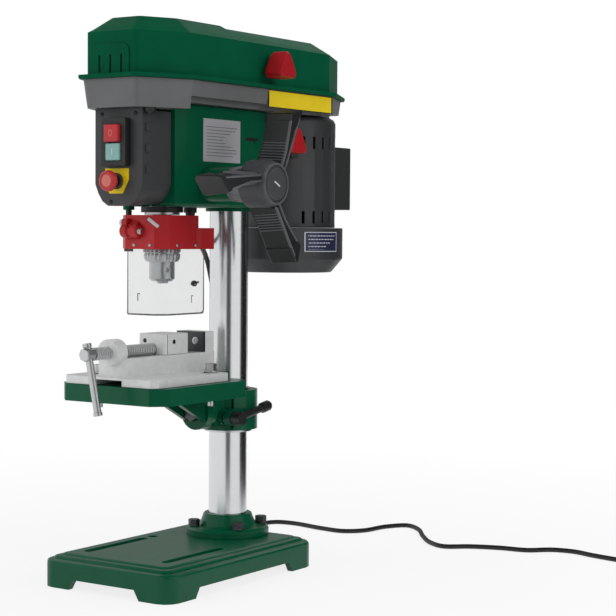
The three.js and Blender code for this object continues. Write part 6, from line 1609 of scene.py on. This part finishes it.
@dataclass
class Guard(SubAssembly):
    """The red guard holder with its clear shield."""

    front_y: float = -166.0
    side_x: float = 32.0
    shield_depth: float = 2.9
    screw_z: float = 383.6
    screw_radius: float = 2.0
    front_screws: Flat = (-8.6, 14.0)
    side_screws: Flat = (-106.4, -140.0)
    pin_ends: Sequence[Point] = ((13.5, -2.2, 413.0), (24.5, 1.8, 404.0))
    pin_radius: float = 2.0
    pin_sides: int = 12
    shield_low: float = 305.9
    shield_high: float = 378.0
    shield_foot: Outline = ((-29.8, -151.4), (-18.9, -162.3), (17.4, -162.3), (28.3, -151.4), (28.3, -86.4))
    near_corner: Flat = (0.7, 1.0)
    far_corner: float = 4.0
    corner_share: float = 0.3
    edge_radii: Sequence[float] = (0.45, 0.7, 0.95, 0.95, 0.95, 0.95, 0.95, 0.9, 0.8, 0.5)
    edge_sides: int = 8
    front_slot: Flat = (-5.3, 326.0)
    side_slot: Flat = (-110.0, 323.0)
    slot_outline: Outline = ((-0.6, -5.0), (0.6, -5.0), (0.6, 2.4), (3.0, 2.4), (3.0, 3.6), (-0.6, 3.6))
    slot_proud: float = 0.25
    wing_screw: Flat = (-105.4, 340.0)
    wing_screw_profile: Outline = ((0.0, -2.4), (2.6, -2.4), (2.6, 0.0), (3.6, 0.0), (3.2, 2.2), (0.0, 2.6))
    wing_screw_sides: int = 20
    wing_outline: Outline = ((-7.0, -1.6), (7.0, 0.2), (7.4, 2.6), (-6.6, 1.4))
    wing_span: Flat = (0.6, 2.0)
    boss_ahead: float = 3.4
    boss_z: float = 399.0
    boss_sides: int = 16
    boss_profile: Outline = (
        (0.0, -22.0), (6.4, -22.0), (7.6, -20.6), (7.6, -13.4), (5.6, -12.4), (5.6, -8.6), (7.6, -7.6),
        (7.6, 0.6), (6.4, 2.0), (0.0, 2.0),
    )
    block_outline: Outline = ((-2.0, -7.0), (4.0, -9.5), (4.0, 12.0), (-2.0, 7.0))
    block_span: Flat = (-19.0, -1.0)
    boss_ends: Flat = (2.0, -22.0)
    boss_bolt_radius: float = 4.4
    ear_profile: Outline = ((0.0, -22.0), (5.0, -22.0), (5.0, -14.0), (0.0, -14.0))
    ear_place: Flat = (1.0, 9.0)

    def looks(self) -> Dict[str, Look]:
        """Red holder, black rod and clear shield."""
        return {
            "guard_rod": Look(BLACK_STEEL, 0.4),
            "guard_holder": Look(RED_PLASTIC, 0.7, segments=3),
            "guard_shield": Look(CLEAR_GUARD, 0.3),
        }

    def build(self) -> None:
        """Adds the clamp boss, the shield's trim, the pale slanted pin and the holder's screws."""
        self._boss()
        self._edge()
        self._slots()
        self._wing_screw()
        line = [Vector((x, self.front_y + ahead, z)) for x, ahead, z in self.pin_ends]
        Mould("guard_pin").tube(line, self.pin_radius, self.pin_sides).cast(
            PALE_INK, "guard", "bright_steel", soft=0.5)
        holder = Carrier("guard_holder")
        looks = [((x, self.front_y, self.screw_z), FROM_FRONT, Axis.Y, -1.0) for x in self.front_screws]
        looks += [((self.side_x, y, self.screw_z), FROM_RIGHT, Axis.X, 1.0) for y in self.side_screws]
        for number, (near, direction, axis, outward) in enumerate(looks):
            place, _ = holder.seat(near, direction)
            screw_head(f"guard_screw_{number + 1}", tuple(place), axis, outward, self.screw_radius).cast(
                ZINC_STEEL, "guard", "bright_steel")

    def _edge(self) -> None:
        """The shield's dark edge, down its left end, round its foot and up its right end."""
        low, high, corner = self.shield_low, self.shield_high, self.far_corner
        (ax, ay), (bx, by) = self.shield_foot[0], self.shield_foot[-1]
        aside, up = self.near_corner
        bend = corner * self.corner_share
        line = [(ax, ay, high), (ax, ay, low + up), (ax + aside, ay - aside, low)]
        line += [(x, y, low) for x, y in self.shield_foot[1:-1]]
        line += [(bx, by - corner, low), (bx, by - bend, low + bend), (bx, by, low + corner), (bx, by, high)]
        Mould("shield_edge").tube([Vector(spot) for spot in line], self.edge_radii, self.edge_sides).cast(
            GUARD_EDGE, "guard", "clear_sheet")

    def _slots(self) -> None:
        """The height slot's outline on the shield's front and on its side."""
        faces = (
            (self.front_y + self.shield_depth, Axis.Y, -1.0, self.front_slot),
            (self.side_x - self.shield_depth, Axis.X, 1.0, self.side_slot),
        )
        for number, (face, axis, outward, place) in enumerate(faces):
            outline = moved(self.slot_outline, *place)
            top = face + outward * self.slot_proud
            Mould(f"shield_slot_{number + 1}").prism(outline, face, top, axis).cast(
                GUARD_EDGE, "guard", "clear_sheet")

    def _wing_screw(self) -> None:
        """The wing screw that holds the shield at its height."""
        x = self.side_x - self.shield_depth
        profile = [(radius, x + along) for radius, along in self.wing_screw_profile]
        Mould("shield_screw").turned(profile, Axis.X, self.wing_screw, self.wing_screw_sides).cast(
            GUARD_EDGE, "guard", "clear_sheet")
        wings = moved(self.wing_outline, *self.wing_screw)
        near, far = self.wing_span
        Mould("shield_wings").prism(wings, x + near, x + far, Axis.X).cast(
            GUARD_EDGE, "guard", "clear_sheet", soft=0.4)

    def _boss(self) -> None:
        """The clamp boss on the front, with a bolt head at each end and an ear under the left one."""
        y, z = self.front_y - self.boss_ahead, self.boss_z
        Mould("guard_boss").turned(self.boss_profile, Axis.X, (y, z), self.boss_sides).cast(
            RED_PLASTIC, "guard", "red_plastic")
        Mould("guard_boss_block").prism(moved(self.block_outline, y, z), *self.block_span, Axis.X).cast(
            RED_PLASTIC, "guard", "red_plastic", soft=0.8)
        right, left = self.boss_ends
        ahead, up = self.ear_place
        self._boss_bolt(1, (right, y, z), 1.0)
        Mould("guard_ear").turned(self.ear_profile, Axis.X, (y + ahead, z + up), self.boss_sides).cast(
            RED_PLASTIC, "guard", "red_plastic")
        self._boss_bolt(2, (left, y, z + up), -1.0)

    def _boss_bolt(self, number: int, place: Point, outward: float) -> None:
        """A bolt head at one end of the boss."""
        screw_head(f"guard_boss_bolt_{number}", place, Axis.X, outward, self.boss_bolt_radius).cast(
            ZINC_STEEL, "guard", "bright_steel")


@dataclass
class Motor(SubAssembly):
    """The motor with its end cap, its capacitor and its plate."""

    wall_x: float = 80.0
    plate_low: Flat = (75.8, 375.2)
    plate_high: Flat = (125.4, 399.2)
    plate_thickness: float = 0.4
    rule_pitch: float = 4.3
    border: float = 0.9

    def looks(self) -> Dict[str, Look]:
        """Dark grey motor, with a bright shaft and a red lock knob."""
        return {
            "motor_housing": Look(MOTOR_PAINT, 1.0, segments=3),
            "motor_end_cap": Look(MOTOR_PAINT, 1.3, segments=3),
            "capacitor_box": Look(CAPACITOR_CASE, 1.4, segments=3),
            "motor_shaft": Look(TURNED_STEEL, 0.4),
            "motor_lock_knob": Look(RED_KNOB, 1.2, segments=3),
        }

    def build(self) -> None:
        """Lays the plate on the end cap's wall."""
        low, high = self.plate_low, self.plate_high
        finish = Ruled("motor_plate", 0x262A48, 0.34, ink=0xD5D8E4, low=low, high=high, pitch=self.rule_pitch,
                       border=self.border)
        corners = on_side(self.wall_x, low, high)
        Carrier("motor_end_cap").label(
            "motor_plate", corners, FROM_RIGHT, self.plate_thickness, rows=2, columns=16,
        ).cast(finish, "motor", "cast_alloy")


@dataclass
class TableAndVise(SubAssembly):
    """The tilting table on its bracket, with the drill vise."""

    screw_z: float = 265.8
    thread_span: Flat = (-246.0, -146.0)
    thread_pitch: float = 3.0
    thread_steps: int = 14
    thread_radius: float = 6.4
    ridge_radius: float = 0.9
    ridge_sides: int = 6
    # Black discs as painted shade in the jaw's holes: name, axis, centre, face and which way is out.
    holes: Sequence[Tuple[str, Axis, Flat, float, float]] = (
        ("jaw_hole_front", Axis.Y, (-9.7, 275.5), -145.1, -1.0),
        ("jaw_hole_side", Axis.X, (-129.0, 274.4), 19.45, 1.0),
    )
    hole_profile: Outline = ((0.0, 0.05), (2.0, 0.05), (2.5, 0.22), (2.5, -0.3), (0.0, -0.3))
    seam_low: Flat = (-141.2, 261.0)
    seam_high: Flat = (-140.4, 282.6)
    seam_span: Flat = (19.2, 19.55)
    bolt_centre: Flat = (8.2, 272.5)
    bolt_profile: Outline = (
        (0.0, -75.0), (4.4, -75.0), (4.4, -75.6), (3.6, -75.9), (2.4, -75.9), (2.2, -75.5), (0.0, -75.5),
    )
    round_sides: int = 24

    def looks(self) -> Dict[str, Look]:
        """Green castings, a black lever and a bare vise."""
        return {
            "column_bush": Look(TURNED_STEEL, 0.4),
            "table_bracket": Look(GREEN_CAST, 1.0, segments=3),
            "table": Look(GREEN_CAST, 1.1, segments=3),
            "clamp_lever": Look(BLACK_STEEL, 0.8),
            "tilt_bolt": Look(DARK_STEEL, 0.5),
            "vise_base": Look(VISE_ALLOY, 0.9, segments=3),
            "vise_moving_jaw": Look(VISE_ALLOY, 0.8, segments=3),
            "fixed_jaw_plate": Look(DARK_STEEL, 0.3),
            "vise_screw": Look(SCREW_CORE, 0.3),
            "vise_handle_bar": Look(ZINC_STEEL, 0.6),
            "vise_bolt_1": Look(ZINC_STEEL, 0.5),
            "vise_bolt_2": Look(ZINC_STEEL, 0.5),
        }

    def build(self) -> None:
        """Adds the screw's thread, dark discs of painted shade for the jaw's holes, the seam, and the jaw
        plate's bolt.
        """
        self._thread()
        # Each hole is a shallow black disc: painted shade, not a hole.
        for name, axis, centre, face, outward in self.holes:
            profile = [(radius, face + outward * rise) for radius, rise in self.hole_profile]
            Mould(name).turned(profile, axis, centre, self.round_sides).cast(
                BLACK_STEEL, "vise_jaw", "cast_alloy")
        seam = rectangle(self.seam_low, self.seam_high)
        Mould("jaw_seam").prism(seam, *self.seam_span, Axis.X).cast(BLACK_STEEL, "vise_jaw", "cast_alloy")
        Mould("jaw_plate_bolt").turned(self.bolt_profile, Axis.Y, self.bolt_centre, self.round_sides).cast(
            ZINC_STEEL, "table", "bright_steel")

    def _thread(self) -> None:
        """The vise screw's thread, a fine ridge that winds along it."""
        low, high = self.thread_span
        count = int((high - low) / self.thread_pitch * self.thread_steps)
        line = []
        for step in range(count + 1):
            turn = 2 * math.pi * step / self.thread_steps
            aside, up = self.thread_radius * math.cos(turn), self.thread_radius * math.sin(turn)
            line.append(Vector((aside, low + (high - low) * step / count, self.screw_z + up)))
        Mould("vise_thread").tube(line, self.ridge_radius, self.ridge_sides).cast(
            THREAD_STEEL, "vise_screw", "bright_steel")


@dataclass
class MainsLead(SubAssembly):
    """The mains lead, from its relief under the head to the plug on the floor.

    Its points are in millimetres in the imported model's own frame.
    """

    radius: float = 3.0
    length: float = 2.025
    steps: int = 6
    coil_steps: int = 2
    bevel_steps: int = 4
    run: Sequence[Point] = (
        (-35.55, -37, 408.4), (-35.55, -37, 402), (-37.5, -33, 395.5), (-47, -12, 388), (-61, 18, 380),
        (-74, 46, 364), (-75.5, 60, 330), (-73, 70, 296), (-68, 90, 240), (-66, 101, 170), (-69, 106, 100),
        (-74, 113, 50), (-81, 125, 20), (-88, 139, 7), (-96, 156, 3.4), (-110, 188, 3.3), (-128, 230, 3.3),
        (-139, 258, 3.3), (-132, 279, 3.3), (-108, 285, 3.3), (-54, 275, 3.3), (-20, 274, 3.3), (0, 294, 3.3),
        (8, 336, 3.3), (26, 362, 3.3), (52, 347, 3.3), (86, 303, 3.3), (116, 270, 3.3), (143, 257, 3.3),
        (170, 276, 3.3), (206, 290, 3.3), (240, 296, 3.3), (264, 317, 3.3), (292, 322, 3.3), (321, 313, 3.3),
        (357, 305, 3.3), (400, 298, 3.3), (430, 296, 3.3), (440, 296, 3.3), (448, 296, 3.3),
    )
    coil_centre: Flat = (458.0, 334.0)
    coil_radius: float = 38.0
    coil_pitch: float = 7.6
    turns_in: float = 1.25
    turns_climbing: float = 0.5
    turn_steps: int = 24
    tail_length: float = 56.0
    plug_height: float = 18.8
    tail: Sequence[Flat] = ((0.2, 0.1), (0.4, 0.42), (0.6, 0.8), (0.75, 0.97), (0.87, 1.0), (1.0, 1.0))

    def looks(self) -> Dict[str, Look]:
        """Black relief and plug."""
        return {"cord_gland": Look(BLACK_PLASTIC, 0.5), "plug": Look(BLACK_PLASTIC, 1.2, segments=3)}

    def _coil_point(self, turns: float) -> Point:
        """A point of the stored turns, which spiral in on the floor, climb a layer and spiral out.

        Args:
            turns: How many turns lie before the point.

        Returns:
            The point.
        """
        share = min(max((turns - self.turns_in) / self.turns_climbing, 0.0), 1.0)
        climb = share * share * (3 - 2 * share)
        inward = min(turns, self.turns_in) - max(turns - self.turns_in - self.turns_climbing, 0.0)
        reach = self.coil_radius - inward * self.coil_pitch
        angle = 2 * math.pi * turns - math.pi / 2
        x, y = self.coil_centre
        height = self.run[-1][2] + climb * self.coil_pitch
        return (x + reach * math.cos(angle), y + reach * math.sin(angle), height)

    def line(self) -> List[Vector]:
        """The whole lead's middle, from the relief to the plug.

        Returns:
            Its points in order.
        """
        turns = 2 * self.turns_in + self.turns_climbing
        count = round(turns * self.turn_steps)
        loops = [self._coil_point(turns * k / count) for k in range(count + 1)]
        x, y, z = loops[-1]
        tail = [(x + along * self.tail_length, y, z + up * (self.plug_height - z)) for along, up in self.tail]
        start = Vector(self.run[-1])
        lead_in = start.lerp(Vector(loops[0]), 0.5)
        run = smooth_path(self.run, self.steps)
        return run[:-1] + smooth_path([tuple(start), tuple(lead_in), *loops, *tail], self.coil_steps)

    def build(self) -> None:
        """Lays the lead as one curve."""
        data = bpy.data.curves.new("mains_lead", "CURVE")
        data.dimensions = "3D"
        data.bevel_depth = self.radius * MILLIMETRE
        data.bevel_resolution = self.bevel_steps
        data.use_fill_caps = True
        spline = data.splines.new("POLY")
        line = [point * MILLIMETRE for point in self.line()]
        spline.points.add(len(line) - 1)
        spline.points.foreach_set("co", [part for point in line for part in (*point, 1.0)])
        spline.use_smooth = True
        lead = placed("mains_lead", data)
        data.materials.append(CORD_RUBBER.material())
        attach(lead, "machine")
        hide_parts("mains_cord", "cord_coil")
        LOG.info("the lead is %.3f m long", sum((b - a).length for a, b in zip(line, line[1:])))


# The studio


@dataclass(frozen=True)
class Card:
    """A dark upright card round the object, with its middle and half its width as angles in degrees."""

    name: str
    middle: float
    half_turn: float
    distance: float
    low: float
    high: float
    tone: float


@dataclass(frozen=True)
class Lamp:
    """A square soft lamp."""

    name: str
    place: Point
    size: float
    power: float


@dataclass
class Studio:
    """The camera, the floor, the dark cards and the soft lamps. All but the camera's eye is in metres."""

    azimuth: float = 34.0
    pitch: float = 2.5964
    roll: float = 0.4129
    focal: float = 1708.403
    eye: Point = (1221.4456, -1641.0236, 400.9754)
    clip: Flat = (0.05, 100.0)
    picture: float = 616.0
    sensor: float = 36.0
    fill: float = 0.5
    reach: float = 30.0
    paper: float = 0.88
    floor_glow: float = 0.82
    shadow_near: float = 0.35
    shadow_far: float = 1.1
    dark_cards: Sequence[Card] = (
        Card("card_by_camera", 36.0, 14.0, 0.55, 0.001, 1.1, 0.08),
        Card("card_rear_right", 146.0, 32.0, 0.6, 0.001, 1.2, 0.02),
        Card("card_rear", 214.0, 30.0, 3.2, 0.001, 1.6, 0.35),
    )
    ceiling_half: float = 2.2
    ceiling_height: float = 2.6
    ceiling_tone: float = 0.02
    soft_lamps: Sequence[Lamp] = (
        Lamp("left_lamp", (-1.5, -1.9, 1.5), 1.4, 16.0),
        Lamp("right_lamp", (2.2, 0.2, 1.3), 1.2, 12.0),
        Lamp("top_lamp", (0.2, 0.3, 2.4), 1.4, 10.0),
    )
    lamp_aim: Point = (0.0, 0.0, 0.3)

    def shoot(self) -> None:
        """Builds the whole studio."""
        self.camera()
        self.world()
        self.floor()
        self.cards()
        self.lamps()

    def camera(self) -> None:
        """Stands the camera where the photograph was taken from."""
        data = bpy.data.cameras.new("camera")
        data.sensor_width = self.sensor
        data.lens = self.focal * self.sensor / self.picture
        data.clip_start, data.clip_end = self.clip
        camera = placed("camera", data)
        turn, dip, roll = (math.radians(angle) for angle in (self.azimuth, self.pitch, self.roll))
        ahead = Vector((-math.sin(turn) * math.cos(dip), math.cos(turn) * math.cos(dip), -math.sin(dip)))
        level = Vector((math.cos(turn), math.sin(turn), 0.0))
        upward = level.cross(ahead)
        right = level * math.cos(roll) + upward * math.sin(roll)
        upward = upward * math.cos(roll) - level * math.sin(roll)
        spin = Matrix((right, upward, -ahead)).transposed()
        camera.matrix_world = Matrix.Translation(metres(self.eye)) @ spin.to_4x4()
        bpy.context.scene.camera = camera

    def world(self) -> None:
        """A white room for the eye, gloss and clear sheet, and a softer one for what lights the object."""
        world = bpy.data.worlds.new("room")
        bpy.context.scene.world = world
        world.use_nodes = True
        graph = Graph(world.node_tree)
        strength = self._white_rays(graph) * (1 - self.fill) + self.fill
        room = graph.node("ShaderNodeBackground", sockets={"Color": WHITE, "Strength": strength})
        graph.close(room, "ShaderNodeOutputWorld")

    @staticmethod
    def _white_rays(graph: Graph) -> Signal:
        """One for the rays that should meet plain white, and otherwise zero.

        Args:
            graph: The graph of the floor or of the world.

        Returns:
            The signal.
        """
        rays = graph.node("ShaderNodeLightPath")
        seen = Signal(graph, rays.outputs["Is Camera Ray"])
        mirrored = Signal(graph, rays.outputs["Is Glossy Ray"])
        return (seen + mirrored + Signal(graph, rays.outputs["Is Transmission Ray"])).clamped()

    def floor(self) -> None:
        """A pale floor that keeps the object's soft shadow near it and runs out into white."""
        floor = self._sheet("floor", self._level(self.reach, 0.0))
        graph = self._graph(floor)
        across, along = graph.axis(0) * MILLIMETRE, graph.axis(1) * MILLIMETRE
        distance = (across * across + along * along) ** 0.5
        share = ((distance - self.shadow_near) / (self.shadow_far - self.shadow_near)).clamped()
        share = share * (1 - self.floor_glow) + self.floor_glow
        white = graph.node("ShaderNodeEmission", sockets={"Color": WHITE, "Strength": 1.0})
        paper = graph.node("ShaderNodeBsdfDiffuse", sockets={"Color": self._grey(self.paper)})
        factor = self._white_rays(graph) * share
        sockets = {0: factor, 1: paper.outputs[0], 2: white.outputs[0]}
        graph.close(graph.node("ShaderNodeMixShader", sockets=sockets))

    @staticmethod
    def _grey(tone: float) -> Colour:
        """An even grey."""
        return (tone, tone, tone, 1.0)

    @staticmethod
    def _level(half: float, height: float) -> List[Point]:
        """The corners of a level square over the origin."""
        return [(x, y, height) for x, y in rectangle((-half, -half), (half, half))]

    @staticmethod
    def _sheet(name: str, corners: Sequence[Point]) -> bpy.types.Object:
        """A flat stage sheet.

        Args:
            name: Its name.
            corners: Its four corners in order.

        Returns:
            The sheet.
        """
        data = bpy.data.meshes.new(name)
        data.from_pydata(corners, [], [(0, 1, 2, 3)])
        return placed(name, data)

    @staticmethod
    def _graph(sheet: bpy.types.Object) -> Graph:
        """A new material's graph on a stage sheet.

        Args:
            sheet: The sheet.

        Returns:
            The emptied graph.
        """
        material = bpy.data.materials.new(sheet.name)
        material.use_nodes = True
        sheet.data.materials.append(material)
        return Graph(material.node_tree)

    def cards(self) -> None:
        """Dark cards that only gloss can see, which give metal and paint their deep reflections."""
        for card in self.dark_cards:
            turns = [math.radians(card.middle + side * card.half_turn) for side in (-1, 1)]
            (ax, ay), (bx, by) = [(card.distance * math.sin(t), -card.distance * math.cos(t)) for t in turns]
            corners = [(ax, ay, card.low), (bx, by, card.low), (bx, by, card.high), (ax, ay, card.high)]
            self._card(card.name, corners, card.tone)
        self._card("card_above", self._level(self.ceiling_half, self.ceiling_height), self.ceiling_tone)

    def _card(self, name: str, corners: Sequence[Point], tone: float) -> None:
        """One card of an even dark tone.

        Args:
            name: Its name.
            corners: Its four corners in order.
            tone: How bright it is, from nought to one.
        """
        card = self._sheet(name, corners)
        graph = self._graph(card)
        graph.close(graph.node("ShaderNodeEmission", sockets={"Color": self._grey(tone), "Strength": 1.0}))
        card.visible_camera = card.visible_diffuse = card.visible_shadow = card.visible_transmission = False

    def lamps(self) -> None:
        """Broad soft lamps at the left, at the right and above."""
        for soft in self.soft_lamps:
            data = bpy.data.lights.new(soft.name, "AREA")
            data.shape, data.size, data.energy = "SQUARE", soft.size, soft.power
            lamp = placed(soft.name, data)
            lamp.location = soft.place
            lamp.visible_glossy = False
            ahead = Vector(self.lamp_aim) - Vector(soft.place)
            lamp.rotation_euler = ahead.to_track_quat("-Z", "Y").to_euler()


def main() -> None:
    """Builds the studio and the machine, group by group."""
    logging.basicConfig(level=logging.INFO, format="%(message)s")
    bpy.context.scene.view_settings.view_transform = "Standard"
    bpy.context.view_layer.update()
    Studio().shoot()
    groups: Sequence[SubAssembly] = (
        MainsLead(), Stand(), Head(), BeltCover(), SwitchBox(), FeedHandle(), QuillAndChuck(), Guard(),
        Motor(), TableAndVise(),
    )
    for group in groups:
        group.dress()


if __name__ == "__main__":
    main()
